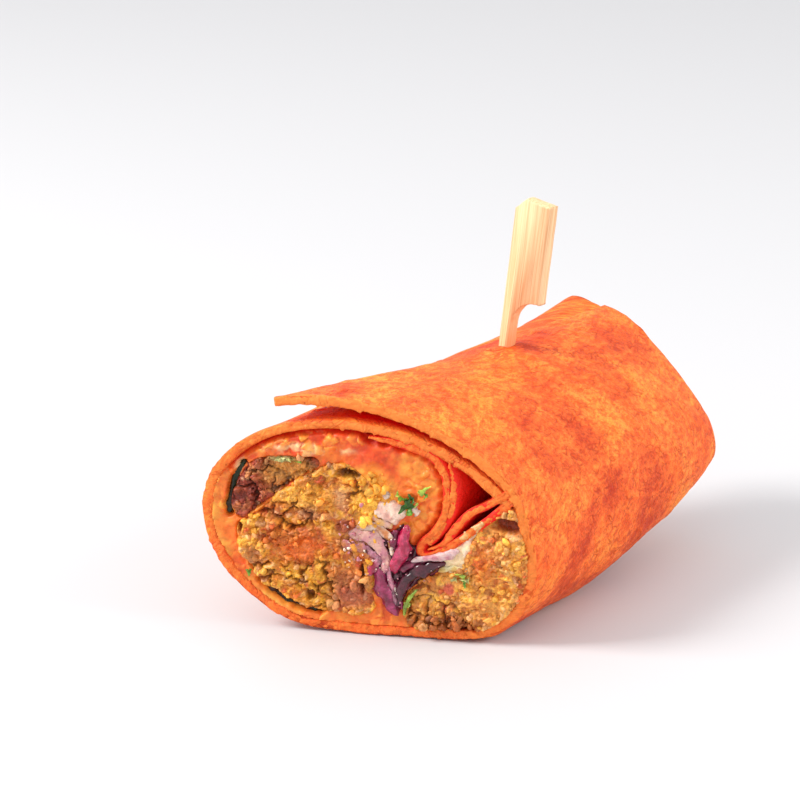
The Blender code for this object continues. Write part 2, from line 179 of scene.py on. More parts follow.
def soft_noise(points, size, seed):
    """Smooth noise from -1 to 1 whose bumps are about one size apart."""
    scaled = points / size
    low = np.floor(scaled)
    part = scaled - low
    part = part * part * (3 - 2 * part)
    total = np.zeros(len(points))
    for corner in np.ndindex(*(2,) * points.shape[1]):
        weight = np.prod(np.where(corner, part, 1 - part), axis=1)
        total += weight * chance((low + corner).astype(np.int64), seed)
    return total * 2 - 1


def layered_noise(points, size, seed, layers=3):
    """Noise with finer noise on it, each layer half the size and half as strong."""
    total = sum(soft_noise(points, size / 2 ** k, seed + k) / 2 ** k for k in range(layers))
    return total / (2 - 2.0 ** (1 - layers))


def linear(code):
    """A colour given as sRGB hex, as linear light."""
    parts = [int(code[i:i + 2], 16) / 255 for i in (1, 3, 5)]
    return np.array([c / 12.92 if c <= 0.04045 else ((c + 0.055) / 1.055) ** 2.4 for c in parts])


def grid_faces(rows, columns, closed=False):
    """Quads between the points of a grid; closed joins its last column to its first."""
    row, column = np.meshgrid(np.arange(rows - 1), np.arange(columns - (not closed)),
                              indexing="ij")
    beside = (column + 1) % columns
    corners = [row * columns + column, row * columns + beside,
               (row + 1) * columns + beside, (row + 1) * columns + column]
    return np.stack([c.ravel() for c in corners], axis=1)


def make_piece(name, shells, material, slot, *nodes):
    """One piece from shells of (places in mm, faces, {attribute: values}), with its holes
    filled; it rides on the root and replaces the nodes. Its slot is not used."""
    mesh = bpy.data.meshes.new(name)
    points = np.concatenate([shell[0] for shell in shells]) * 0.001
    starts = np.cumsum([0] + [len(shell[0]) for shell in shells])
    faces = [[start + i for i in face] for start, shell in zip(starts, shells)
             for face in (shell[1].tolist() if isinstance(shell[1], np.ndarray) else shell[1])]
    mesh.from_pydata(points.tolist(), [], faces)
    for key in shells[0][2]:
        values = np.concatenate([shell[2][key] for shell in shells])
        if key == "tone":
            attribute = mesh.attributes.new(key, "FLOAT_COLOR", "POINT")
            opaque = np.column_stack([values, np.ones(len(values))])
            attribute.data.foreach_set("color", opaque.ravel())
        else:
            attribute = mesh.attributes.new(key, "FLOAT_VECTOR", "POINT")
            attribute.data.foreach_set("vector", values.ravel())
    mesh.polygons.foreach_set("use_smooth", [True] * len(mesh.polygons))
    shape = bmesh.new()
    shape.from_mesh(mesh)
    rims = [edge for edge in shape.edges if edge.is_boundary]
    bmesh.ops.holes_fill(shape, edges=rims, sides=0)
    bmesh.ops.recalc_face_normals(shape, faces=shape.faces)
    shape.to_mesh(mesh)
    shape.free()
    mesh.update()
    piece = bpy.data.objects.new(name, mesh)
    scene.collection.objects.link(piece)
    mesh.materials.append(material)
    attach(piece, "root")
    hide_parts(*nodes)


def add_node(tree, kind, inputs=None, **settings):
    """One shader node with its settings; an input is a value or another node's output."""
    node = tree.nodes.new(kind)
    for key, value in settings.items():
        setattr(node, key, value)
    for key, value in (inputs or {}).items():
        if isinstance(value, bpy.types.NodeSocket):
            tree.links.new(value, node.inputs[key])
        else:
            node.inputs[key].default_value = value
    return node


def new_material(name, finish):
    """A material whose shader has the finish's values; returns it, its nodes and its shader."""
    material = bpy.data.materials.new(name)
    material.use_nodes = True
    tree = material.node_tree
    shader = tree.nodes["Principled BSDF"]
    for key, value in finish.items():
        shader.inputs[key].default_value = value
    return material, tree, shader


# The tortilla's skin: rolled and griddled dough. Soft and matt, orange with redder blotches a
# finger's width across, fine paler mottles, and a net of short dark wrinkles where toasted.
tortilla_skin, tree, skin = new_material("tomato_tortilla_skin", {
    "Roughness": 0.6, "IOR": 1.45, "Specular IOR Level": 0.3, "Subsurface Weight": 0.15,
    "Subsurface Radius": (0.003, 0.001, 0.0004), "Subsurface Scale": 1.0})
flat_place = add_node(tree, "ShaderNodeAttribute", attribute_name="flat")
# In its tone, red is how much crumb shows, green how toasted it is with painted shade mixed
# in, and blue how much painted deep-red shade it has inside a fold.
tone = add_node(tree, "ShaderNodeAttribute", attribute_name="tone")
tone_parts = add_node(tree, "ShaderNodeSeparateColor", {"Color": tone.outputs["Color"]})
# Marks in the dough are drawn out 1.8 times, the way it was rolled out. Blotches are 9 mm
# apart across them, and mottles 1.7 mm.
along_roll = add_node(tree, "ShaderNodeMapping", {"Vector": flat_place.outputs["Vector"],
                      "Rotation": (0.0, 0.0, math.radians(30.0)), "Scale": (1.0, 1.8, 1.0)},
                      vector_type="TEXTURE")
blotches = add_node(tree, "ShaderNodeTexNoise", {"Vector": along_roll.outputs["Vector"],
                    "Scale": 1 / 9, "Detail": 3.0, "Roughness": 0.62, "Distortion": 0.3})
# Toasting, with painted shade in the same channel, moves the blotches toward red.
toast_and_shade_shift = add_node(tree, "ShaderNodeMath", {0: tone_parts.outputs["Green"], 1: 0.34,
                   2: -0.12}, operation="MULTIPLY_ADD")
blotch_place = add_node(tree, "ShaderNodeMath", {0: blotches.outputs["Fac"],
                        1: toast_and_shade_shift.outputs["Value"]}, operation="ADD")
blotch_ramp = add_node(tree, "ShaderNodeValToRGB", {"Fac": blotch_place.outputs["Value"]})
blotch_ramp.color_ramp.elements[0].position = 0.34
blotch_ramp.color_ramp.elements[0].color = (*linear("#ff8c34"), 1.0)
blotch_ramp.color_ramp.elements[1].position = 0.8
blotch_ramp.color_ramp.elements[1].color = (*linear("#ce4214"), 1.0)
middle = blotch_ramp.color_ramp.elements.new(0.55)
middle.color = (*linear("#f87028"), 1.0)
mottles = add_node(tree, "ShaderNodeTexNoise", {"Vector": along_roll.outputs["Vector"],
                   "Scale": 1 / 1.7, "Detail": 4.0, "Roughness": 0.82})
mottle_shade = add_node(tree, "ShaderNodeValToRGB", {"Fac": mottles.outputs["Fac"]})
mottle_shade.color_ramp.elements[0].position = 0.42
mottle_shade.color_ramp.elements[0].color = (0.84, 0.56, 0.46, 1.0)
mottle_shade.color_ramp.elements[1].position = 0.585
mottle_shade.color_ramp.elements[1].color = (1.08, 1.24, 1.34, 1.0)
mottled = add_node(tree, "ShaderNodeVectorMath", {0: blotch_ramp.outputs["Color"],
                   1: mottle_shade.outputs["Color"]}, operation="MULTIPLY")
# The grain of the flour is 0.3 mm; it is drawn 0.7 mm coarse, so that it shows.
grain = add_node(tree, "ShaderNodeTexNoise", {"Vector": flat_place.outputs["Vector"],
                 "Scale": 1 / 0.7, "Detail": 2.0, "Roughness": 0.7})
grain_shade = add_node(tree, "ShaderNodeMapRange", {"Value": grain.outputs["Fac"],
                       "From Min": 0.3, "From Max": 0.7, "To Min": 0.78, "To Max": 1.2})
grainy = add_node(tree, "ShaderNodeVectorMath", {0: mottled.outputs["Vector"],
                  "Scale": grain_shade.outputs["Result"]}, operation="SCALE")
# Where it is toasted the skin has shrunk into a net of fine dark wrinkles 2 mm apart.
wander = add_node(tree, "ShaderNodeTexNoise", {"Vector": along_roll.outputs["Vector"],
                  "Scale": 1 / 2.2, "Detail": 2.0})
wandering = add_node(tree, "ShaderNodeVectorMath", {0: wander.outputs["Color"],
                     1: (4.5, 4.5, 0.0), 2: along_roll.outputs["Vector"]},
                     operation="MULTIPLY_ADD")
net = add_node(tree, "ShaderNodeTexVoronoi", {"Vector": wandering.outputs["Vector"],
               "Scale": 1 / 2.0}, voronoi_dimensions="2D", feature="DISTANCE_TO_EDGE")
wrinkle_line = add_node(tree, "ShaderNodeMapRange", {"Value": net.outputs["Distance"],
                        "From Min": 0.2, "From Max": 0.0, "To Min": 0.0, "To Max": 1.0})
wrinkled_here = add_node(tree, "ShaderNodeMapRange", {"Value": tone_parts.outputs["Green"],
                         "From Min": 0.15, "From Max": 0.8, "To Min": 0.35, "To Max": 1.0})
patches = add_node(tree, "ShaderNodeTexNoise", {"Vector": along_roll.outputs["Vector"],
                   "Scale": 1 / 4.0, "Detail": 3.0, "Roughness": 0.7})
in_patches = add_node(tree, "ShaderNodeMapRange", {"Value": patches.outputs["Fac"],
                      "From Min": 0.44, "From Max": 0.58, "To Min": 0.0, "To Max": 0.95})
wrinkles = add_node(tree, "ShaderNodeMath", {0: wrinkle_line.outputs["Result"],
                    1: in_patches.outputs["Result"]}, operation="MULTIPLY")
wrinkle_amount = add_node(tree, "ShaderNodeMath", {0: wrinkles.outputs["Value"],
                          1: wrinkled_here.outputs["Result"]}, operation="MULTIPLY")
# A colour mix has its two colours in sockets 6 and 7, and its result in output 2.
wrinkled = add_node(tree, "ShaderNodeMix", {"Factor": wrinkle_amount.outputs["Value"],
                    6: grainy.outputs["Vector"], 7: (*linear("#be380c"), 1.0)},
                    data_type="RGBA")
# Inside the folds it is painted deep red: painted shade, red as if lit through the dough.
fold_shade_mix = add_node(tree, "ShaderNodeMix", {"Factor": tone_parts.outputs["Blue"],
                     6: wrinkled.outputs[2], 7: (*linear("#ff2418"), 1.0)}, data_type="RGBA")
# The cut edge shows the crumb of the dough, which is paler than its skin.
crumb_mix = add_node(tree, "ShaderNodeMix", {"Factor": tone_parts.outputs["Red"],
                     6: fold_shade_mix.outputs[2], 7: (*linear("#ff8a3c"), 1.0)}, data_type="RGBA")
tree.links.new(crumb_mix.outputs[2], skin.inputs["Base Color"])
# Wrinkles sink, and the grain and the mottles stand up.
relief = add_node(tree, "ShaderNodeMath", {0: wrinkles.outputs["Value"], 1: -1.0,
                  2: grain.outputs["Fac"]}, operation="MULTIPLY_ADD")
pitted = add_node(tree, "ShaderNodeMath", {0: mottles.outputs["Fac"], 1: 1.2,
                  2: relief.outputs["Value"]}, operation="MULTIPLY_ADD")
bump = add_node(tree, "ShaderNodeBump", {"Height": pitted.outputs["Value"], "Strength": 0.6,
                "Distance": 0.0005})
tree.links.new(bump.outputs["Normal"], skin.inputs["Normal"])


arc = np.linspace(0.0, 1.0, ROLL_ACROSS + 1)


def roll_ring(t):
    """One ring of the sheet at t: its outer face and back along its inner face, drawn in a
    little where the knife pressed it."""
    half = SHEET / 2 * (0.82 + 0.18 * min(1.0, t * TAIL_LENGTH / 2.5))
    outer = sheet_path(t, ROLL_ACROSS)
    # Beyond the flap the free edge is pressed thin.
    thinned = min(1.0, t / FLAP_CLOSED_AT) * np.clip(1 - arc / 0.035, 0.0, 1.0)
    outer = outer + left_normals(outer) * (half - 1.3 * SHEET / 2 * thinned)[:, None]
    inner = sheet_path(t, ROLL_INSIDE)
    inner = (inner - left_normals(inner) * half)[::-1]
    return outer, inner


# Rows lie closer together near the cut.
rows = np.linspace(0.0, 1.0, ROLL_ALONG) ** 1.25
roll_points, roll_flat = [], []
for t in rows:
    outer, inner = roll_ring(t)
    around = run_along(outer)
    back = np.linspace(around[-1], 0.0, len(inner))
    roll_points.append(np.concatenate([placed(outer, t), placed(inner, t)]))
    flat = np.concatenate([around, back])
    roll_flat.append(np.column_stack([flat, np.full(len(flat), t * TAIL_LENGTH),
                                      np.zeros(len(flat))]))
columns = ROLL_ACROSS + ROLL_INSIDE + 2
roll_points = np.concatenate(roll_points)
roll_flat = np.concatenate(roll_flat)
roll_faces = grid_faces(ROLL_ALONG, columns, closed=True)
is_outer = np.tile(np.arange(columns) <= ROLL_ACROSS, ROLL_ALONG)

# The dough's own shape: slack, blisters that stand up and creases that sink in.
grid = roll_points.reshape(ROLL_ALONG, columns, 3)
normals = np.cross(np.gradient(grid, axis=0), np.gradient(grid, axis=1)).reshape(-1, 3)
normals /= np.linalg.norm(normals, axis=1, keepdims=True) + 1e-9
from_axis = roll_points[is_outer] - (0.0, 0.0, 28.0)
outwards = np.sign(np.sum(normals[is_outer] * from_axis, axis=1))
normals *= 1.0 if np.mean(outwards) > 0 else -1.0
slack = 0.5 * soft_noise(roll_points, SLACK_SIZES[0], 3) \
    + 0.16 * soft_noise(roll_points, SLACK_SIZES[1], 4)
blisters = np.clip(soft_noise(roll_points, BLISTER_SIZE, 5), 0.0, 1.0) ** 2 * 0.5
slant = np.column_stack(turned(roll_flat[:, 0], roll_flat[:, 1], math.radians(28.0)))
creases = soft_noise(slant / CREASE_SIZE, 1.0, 6)
creases = -0.16 * np.clip(creases, 0.0, 1.0)
near_cut = np.clip(roll_flat[:, 1] / 6.0, 0.0, 1.0)
shift = np.where(is_outer, slack * near_cut + blisters + creases, slack * near_cut * -1.0)
roll_points = roll_points + normals * shift[:, None]
roll_points[:, 2] = np.maximum(roll_points[:, 2], 0.05)
# It is darker round the pick and low down, most on its right side, from toasting and painted
# shade, and the part of its outer face that lies under the flap gets painted deep-red shade.
toast_and_shade = 0.3 + 0.5 * soft_noise(roll_points, 14.0, 8)
toast_and_shade += 0.4 * np.clip((14.0 - roll_points[:, 2]) / 12.0, 0.0, 1.0)
for *spot, reach, strength in TOAST_AND_SHADE_AT:
    toast_and_shade += strength * np.exp(-np.sum(((roll_points - spot) / reach) ** 2, axis=1))
toast_and_shade = np.clip(toast_and_shade, 0.0, 1.0)
# Painted deep-red shade on the inner face and on the outer face under the flap, fading in at the
# cut and weaker toward the tail.
under_flap = np.tile(np.clip((arc - UNDER_FLAP) / 0.03, 0.0, 1.0), (ROLL_ALONG, 1))
fold_shade_side = np.concatenate([under_flap, np.ones((ROLL_ALONG, ROLL_INSIDE + 1))], axis=1)
shaded = fold_shade_side.ravel() * np.clip(roll_flat[:, 1] / 2.5 - 0.2, 0.0, 1.0) \
    * np.clip((TAIL_LENGTH - roll_flat[:, 1]) / 20.0, 0.15, 1.0)
roll_tone = np.column_stack([np.zeros(len(roll_points)), toast_and_shade, shaded])
# Both ends are closed by a strip between the outer and the inner face.
cap = [[i, i + 1, columns - 1 - round((i + 0.5) * ROLL_INSIDE / ROLL_ACROSS)]
       for i in range(ROLL_ACROSS)]
cap += [[ROLL_ACROSS + 1 + i, ROLL_ACROSS + 2 + i,
         round((ROLL_INSIDE - 0.5 - i) * ROLL_ACROSS / ROLL_INSIDE)]
        for i in range(ROLL_INSIDE)]
last = (ROLL_ALONG - 1) * columns
caps = cap + [[last + i for i in face] for face in cap]
roll_faces = roll_faces.tolist() + caps
make_piece("tortilla_roll", [(roll_points, roll_faces, {"tone": roll_tone, "flat": roll_flat})],
           tortilla_skin, "tomato_tortilla", "tortilla")


# ---- Tortilla: the pleat ------------------------------------------------------------------
# Inside, a slack fold of the same tortilla hangs from the top into the filling and turns up
# again to the right, in three thin layers.
PLEAT, PLEAT_END = 1.8, 0.60
PLEAT_OUTER = ((-18.0, 49.3), (-11.0, 47.8), (-5.0, 45.7), (-1.6, 41.8), (-0.8, 36.0),
               (-1.4, 31.0), (-3.6, 26.9), (-6.2, 24.0), (-6.6, 21.6), (-4.4, 21.0),
               (-0.4, 23.4), (4.2, 27.2), (8.4, 30.9), (11.6, 34.2), (13.4, 35.7))
PLEAT_ARM = ((-0.4, 44.2), (0.5, 40.0), (0.5, 35.6), (-0.2, 31.4), (-2.3, 27.4), (-5.0, 24.0))
PLEAT_RETURN = ((-5.0, 22.3), (-1.5, 24.3), (1.2, 28.4), (4.2, 32.1), (7.6, 34.0), (10.6, 36.2),
                (12.6, 37.6))


def smooth_curve(points, steps, closed=False):
    """A Catmull-Rom curve through the points, with a number of steps between each two."""
    points = np.array(points, dtype=float)
    count = len(points)
    result = []
    for i in range(count if closed else count - 1):
        if closed:
            before, start, end, after = (points[(i + k) % count] for k in (-1, 0, 1, 2))
        else:
            before, start = points[max(i - 1, 0)], points[i]
            end, after = points[i + 1], points[min(i + 2, count - 1)]
        for s in np.arange(steps) / steps:
            result.append(0.5 * (2 * start + (end - before) * s
                                 + (2 * before - 5 * start + 4 * end - after) * s ** 2
                                 + (3 * start - before - 3 * end + after) * s ** 3))
    if not closed:
        result.append(points[-1])
    return np.array(result)


def drawn_out(path, thickness):
    """A layer's thickness along its path: it thins out to nothing where it begins."""
    return thickness * np.clip(0.12 + run_along(path) / 7.0, 0.0, 1.0)


def ribbon_sheet(outline, thickness, end, seed):
    """A thin layer that follows a path in the cut and runs back along the roll."""
    curve = smooth_curve(outline, 8)
    half = drawn_out(curve, thickness)[:, None] / 2
    rings, flats = [], []
    for t in np.linspace(0.0, end, 26):
        at = np.column_stack([curve, np.full(len(curve), t * 100)])
        wobble = 0.35 * soft_noise(at, 9.0, seed)
        path = carried(curve, t)
        side = left_normals(path)
        path = path + side * (wobble * min(1.0, t * 12))[:, None]
        ring = np.concatenate([path + side * half, (path - side * half)[::-1]])
        rings.append(placed(ring, t))
        steps = np.arange(len(curve)) * 0.6
        flats.append(np.column_stack([np.concatenate([steps, steps[::-1]]) + seed * 31,
                                      np.full(len(ring), t * TAIL_LENGTH), np.zeros(len(ring))]))
    count = len(rings[0])
    faces = grid_faces(len(rings), count, closed=True).tolist()
    for first in (0, (len(rings) - 1) * count):
        faces += [[first + i, first + i + 1, first + count - 2 - i, first + count - 1 - i]
                  for i in range(count // 2 - 1)]
    points, flat = np.concatenate(rings), np.concatenate(flats)
    # The pleat lies inside the roll, so it is almost all painted deep-red shade.
    tone = np.column_stack([np.zeros(len(points)), np.full(len(points), 0.25),
                            np.full(len(points), 0.95)])
    return points, faces, {"tone": tone, "flat": flat}


pleat_shells = [ribbon_sheet(path, PLEAT, PLEAT_END, seed)
                for seed, path in enumerate((PLEAT_OUTER, PLEAT_ARM, PLEAT_RETURN), start=21)]
make_piece("tortilla_pleat", pleat_shells, tortilla_skin, "tomato_tortilla", "tortilla")


# ---- Tortilla: the cut edge ---------------------------------------------------------------
# Where the knife went through, the dough shows its paler crumb: a soft band as thick as the
# sheet, slightly domed, with small torn bits along both of its sides.
EDGE_DEPTH = 1.6   # how far the band reaches back into the sheet


def tube_faces(rings, count):
    """The faces of a tube, from rings of a number of points, closed at both ends."""
    faces = grid_faces(rings, count, closed=True).tolist()
    return faces + [list(range(count)), list(range((rings - 1) * count, rings * count))]


def cut_edge(path, thickness, paleness, seed):
    """A ragged band along a path in the cut, closed behind."""
    side = left_normals(path)
    steps = run_along(path)
    line = np.column_stack([steps, np.full(len(steps), seed * 7.0)])
    rags = [0.16 * soft_noise(line, 2.6, seed + k) + 0.13 * soft_noise(line, 0.9, seed + 5 + k)
            + (1.6 - k) * np.clip(soft_noise(line, 1.2, seed + 9 + k) - 0.52, 0.0, None)
            for k in (0, 1)]
    across = np.linspace(-1.0, 1.0, 9)
    rings, tones, flats = [], [], []
    for w in across:
        reach = thickness / 2 * (0.86 + 0.1 * soft_noise(line, 9.0, seed + 2)) \
            + np.where(w < 0, rags[0], rags[1]) + 0.05
        spot = path + side * (w * reach)[:, None]
        at = np.column_stack([steps, w * thickness / 2 + seed * 7.0])
        # Domed and crumbly, with the seam of a bubble along its middle here and there.
        domed = 0.30 * (1 - w * w) + 0.20 * soft_noise(at, 1.1, seed + 3) \
            + 0.14 * soft_noise(at, 0.55, seed + 4) + 0.25 * soft_noise(at, 6.0, seed + 6)
        groove = -0.16 * np.exp(-((w - 0.15) / 0.16) ** 2) * (soft_noise(at, 7.0, seed + 7) > -0.2)
        rings.append(placed(spot, 0.0) + CUT_NORMAL * (domed + groove)[:, None])
        pale = np.clip(paleness - 0.5 * abs(w) ** 3 + 0.3 * layered_noise(at, 2.0, seed + 8),
                       0.0, 1.0)
        # Painted deep-red shade, stronger where the band is less pale and at its two sides.
        red = 0.35 * (1 - paleness) + 0.12 * abs(w) ** 3
        tones.append(np.column_stack([pale, np.full(len(pale), 0.1), red]))
        flats.append(np.column_stack([at, np.zeros(len(at))]))
    for w in (0.8, -0.8):
        inner = path + side * (w * thickness / 2)[:, None]
        rings.append(placed(inner, 0.0) - CUT_NORMAL * EDGE_DEPTH)
        tones.append(tones[0] * 0.5)
        flats.append(flats[0])
    points = np.stack(rings, axis=1).reshape(-1, 3)
    return points, tube_faces(len(path), len(rings)), {
        "tone": np.stack(tones, axis=1).reshape(-1, 3),
        "flat": np.stack(flats, axis=1).reshape(-1, 3)}


wall_path = sheet_path(0.0, 640)
# The flap and the layer under it are the palest, and the foot is the reddest; less pale parts
# also get more painted deep-red shade, most at the foot where it meets the floor.
wall_paleness = np.interp(np.linspace(0, 1, len(wall_path)),
                          (0.0, 0.26, 0.38, 0.55, 0.72, 0.86, 1.0),
                          (0.95, 0.9, 0.55, 0.3, 0.45, 0.8, 0.8))
edges = [cut_edge(wall_path, np.full(len(wall_path), SHEET), wall_paleness, 40)]
for seed, outline in ((60, PLEAT_OUTER), (80, PLEAT_ARM), (100, PLEAT_RETURN)):
    path = smooth_curve(outline, 14)
    edges.append(cut_edge(path, drawn_out(path, PLEAT), np.full(len(path), 0.35), seed))
make_piece("tortilla_cut_edge", edges, tortilla_skin, "tomato_tortilla", "tortilla")


# ---- Tortilla: the tail's end -------------------------------------------------------------
# The sides of the tortilla were folded in before it was rolled, so its far end shows the
# layers lying flat on each other in a long closed spiral, a little inside the lip.
tail_turns, tail_rings, tail_columns = 3.0, 60, 220
tail_x, tail_z, tail_width, tail_height, tail_lean = section_at(1.0)
radius = np.linspace(1.0, 0.0, tail_rings)[:, None]
angle = np.linspace(0.0, 2 * math.pi, tail_columns, endpoint=False)[None, :]
across, up = turned((tail_width - 0.6) * radius * np.cos(angle),
                    (tail_height - 0.6) * radius * np.sin(angle), tail_lean)
tail_places = np.stack([across + tail_x, up + tail_z], axis=-1).reshape(-1, 2)
coil = (radius * tail_turns + angle / (2 * math.pi)).ravel()
coil = coil + 0.12 * layered_noise(tail_places, 7.0, 71)
within = coil - np.floor(coil)
layer = np.sin(math.pi * np.clip(within / 0.86, 0.0, 1.0)) ** 0.6
wavy = layered_noise(tail_places, 3.0, 72)
depth = -2.6 - 1.6 * (1 - radius.repeat(tail_columns, axis=1).ravel()) + 1.4 * layer + 0.3 * wavy
tail_points = placed(tail_places, 1.0)
tail_points[:, 1] += depth
tail_faces = grid_faces(tail_rings, tail_columns, closed=True)
tail_tone = np.column_stack([0.35 * layer, np.full(len(layer), 0.5), np.zeros(len(layer))])
tail_flat = np.column_stack([tail_places[:, 0] * 1.3, tail_places[:, 1] * 1.3 + 300.0,
                             np.zeros(len(layer))])
make_piece("tortilla_tucked_end", [(tail_points, tail_faces, {"tone": tail_tone,
                                                              "flat": tail_flat})],
           tortilla_skin, "tomato_tortilla", "tortilla")


# ---- Orange spread ------------------------------------------------------------------------
# A thick hummus with harissa, spread on the tortilla before rolling. It fills the room round
# the falafels, moist and smooth, and was smeared a little by the knife.

# The step of the grid that a filling's face is made on, how far along the roll the fillings
# end, and how the room for them is drawn: its steps, and how far it goes into the wall.
GRID = 0.24
FILLING_END = 0.80
ROOM_STEPS, INTO_WALL = 150, 0.25


def room_outline(t):
    """The room for the filling at t: inside the sheet, and under the pleat."""
    def sides(at):
        path = sheet_path(at, ROOM_STEPS)
        inner = path - left_normals(path) * (SHEET / 2 - INTO_WALL)
        pleat = carried(smooth_curve(PLEAT_OUTER, 4), at)
        return inner, pleat - left_normals(pleat) * (PLEAT / 2 - INTO_WALL)
    inner, under = sides(0.0)
    half = ROOM_STEPS // 2
    right = 1 + np.argmin(np.linalg.norm(inner[:half] - under[-1], axis=1))
    top = half + np.argmin(np.linalg.norm(inner[half:] - under[0], axis=1))
    inner, under = sides(t)
    return np.concatenate([inner[right:top], under[:-1]])


def depth_inside(points, outline):
    """How far inside a closed outline each place lies; less than 0 outside it."""
    nearest = np.full(len(points), 1e9)
    inside = np.zeros(len(points), dtype=bool)
    for start, end in zip(outline, np.roll(outline, -1, axis=0)):
        edge, offset = end - start, points - start
        along = np.clip(offset @ edge / (edge @ edge + 1e-12), 0.0, 1.0)
        nearest = np.minimum(nearest, np.linalg.norm(offset - along[:, None] * edge, axis=1))
        if start[1] != end[1]:
            crosses = (start[1] > points[:, 1]) != (end[1] > points[:, 1])
            meets = start[0] + edge[0] * offset[:, 1] / edge[1]
            inside ^= crosses & (points[:, 0] < meets)
    return np.where(inside, nearest, -nearest)


def lumps(points, size, seed):
    """Packed crumbs: how high each place is on its crumb, 0 to 1, and that crumb's number."""
    scaled = points / size
    low = np.floor(scaled).astype(np.int64)
    best, second = np.full(len(points), 9.0), np.full(len(points), 9.0)
    owner, away = low.copy(), np.zeros_like(points)
    for corner in np.ndindex(3, 3):
        cell = low + np.array(corner) - 1
        centre = cell + 0.1 + 0.8 * np.column_stack([chance(cell, seed), chance(cell, seed + 1)])
        gap = np.linalg.norm(scaled - centre, axis=1)
        closer = gap < best
        second = np.where(closer, best, np.minimum(second, gap))
        owner[closer], away[closer] = cell[closer], (scaled - centre)[closer]
        best = np.where(closer, gap, best)
    tilt = np.column_stack([chance(owner, seed + 3), chance(owner, seed + 4)]) - 0.5
    height = 1 - (1 - np.clip((second - best) / 0.42, 0.0, 1.0)) ** 2
    return height * (1 + 1.8 * np.sum(away * tilt, axis=1)), chance(owner, seed + 2)


def blob(points, centre, size, soft=0.5, wander=0.35):
    """1 inside an uneven oval spot, fading to 0 at its rim."""
    away = np.linalg.norm((points - centre) / size, axis=1)
    away = away + wander * layered_noise(points, 2.4 * min(size), 91)
    return np.clip((1 + soft / 2 - away) / soft, 0.0, 1.0)


def mixed(first, second, amount):
    """Two colours, or rows of them, mixed row by row."""
    amount = np.asarray(amount)[:, None]
    return first * (1 - amount) + second * amount


def spotted(points, tone, spots):
    """The tone with spots laid over it in turn: each is (colour, strength, what blob takes)."""
    for colour, strength, *spot in spots:
        tone = mixed(tone, colour, strength * blob(points, *spot))
    return tone


def patchy(points, size, seed, share, contrast, most=1.0):
    """Uneven patches from 0 to the most; a larger share leaves fewer gaps between them."""
    return np.clip(share + contrast * layered_noise(points, size, seed), 0.0, most)


def pushed_about(points, fine, *seeds):
    """Places pushed about by a millimetre or so, which keeps crumbs from looking alike."""
    return points + np.column_stack([
        1.3 * layered_noise(points, 2.6, coarse_seed) + fine * soft_noise(points, 0.7, fine_seed)
        for coarse_seed, fine_seed in seeds])


def rounded(inside, radius):
    """How far a lump's edge draws back, level inside and steep outside its outline."""
    near = 1 - np.clip(inside / radius, 0.0, 1.0)
    return -radius * (1 - np.sqrt(1 - near ** 2)) + 3.0 * np.clip(inside, None, 0.0)


def front_sheet(outline, relief, room=None, pitch=GRID, margin=0.9, back=5.0):
    """The filling's face at the cut: a fine grid over its outline, shaped by its relief, with a
    skirt that runs back from its rim."""
    low, high = outline.min(axis=0) - margin, outline.max(axis=0) + margin
    across, up = (np.arange(a, b, pitch) for a, b in zip(low, high))
    points = np.stack(np.meshgrid(across, up), axis=-1).reshape(-1, 2)
    inside = depth_inside(points, outline)
    kept = inside > -margin
    if room is not None:
        kept[kept] = depth_inside(points[kept], room) > -0.1
    quads = grid_faces(len(up), len(across))
    quads = quads[np.all(kept[quads], axis=1)]
    used, quads = np.unique(quads, return_inverse=True)
    quads = quads.reshape(-1, 4)
    points, inside = points[used], inside[used]
    height, tone = relief(points, inside)
    places = placed(points, 0.0) + CUT_NORMAL * height[:, None]
    edges = np.concatenate([quads[:, [k, (k + 1) % 4]] for k in range(4)])
    codes = np.sort(edges, axis=1) @ np.array((1, len(points)))
    first, times = np.unique(codes, return_index=True, return_counts=True)[1:]
    rim = edges[first[times == 1]]
    rim_points, corners = np.unique(rim, return_inverse=True)
    corners = corners.reshape(-1, 2) + len(points)
    skirt = np.column_stack([rim[:, 1], rim[:, 0], corners[:, 0], corners[:, 1]])
    places = np.concatenate([places, placed(points[rim_points], 0.0) + (0.0, back, 0.0)])
    tone = np.concatenate([tone, tone[rim_points]])
    return places, np.concatenate([quads, skirt]), {"tone": tone}


def run_back(rings_at, end, colour, start=0.04):
    """The rest of the filling behind its face: rings along the roll, closed at both ends."""
    stations = np.linspace(start, end, 12)
    rings = [placed(rings_at(t), t) for t in stations]
    points = np.concatenate(rings)
    return points, tube_faces(len(rings), len(rings[0])), {
        "tone": np.tile(colour, (len(points), 1))}


def food_material(name, finish, marks, darkest, lightest, dent=None):
    """A moist food: its own tone, lighter and darker in fine marks, which dent it too where a
    dent's (strength, depth) is given."""
    material, tree, shader = new_material(name, {**finish, "Subsurface Scale": 1.0})
    tone = add_node(tree, "ShaderNodeAttribute", attribute_name="tone")
    place = add_node(tree, "ShaderNodeTexCoord")
    marked = add_node(tree, "ShaderNodeTexNoise", {"Vector": place.outputs["Object"], **marks})
    shade = add_node(tree, "ShaderNodeMapRange", {"Value": marked.outputs["Fac"],
                     "From Min": 0.3, "From Max": 0.7, "To Min": darkest, "To Max": lightest})
    colour = add_node(tree, "ShaderNodeVectorMath", {0: tone.outputs["Color"],
                      "Scale": shade.outputs["Result"]}, operation="SCALE")
    tree.links.new(colour.outputs["Vector"], shader.inputs["Base Color"])
    if dent:
        bump = add_node(tree, "ShaderNodeBump", {"Height": marked.outputs["Fac"],
                        "Strength": dent[0], "Distance": dent[1]})
        tree.links.new(bump.outputs["Normal"], shader.inputs["Normal"])
    return material


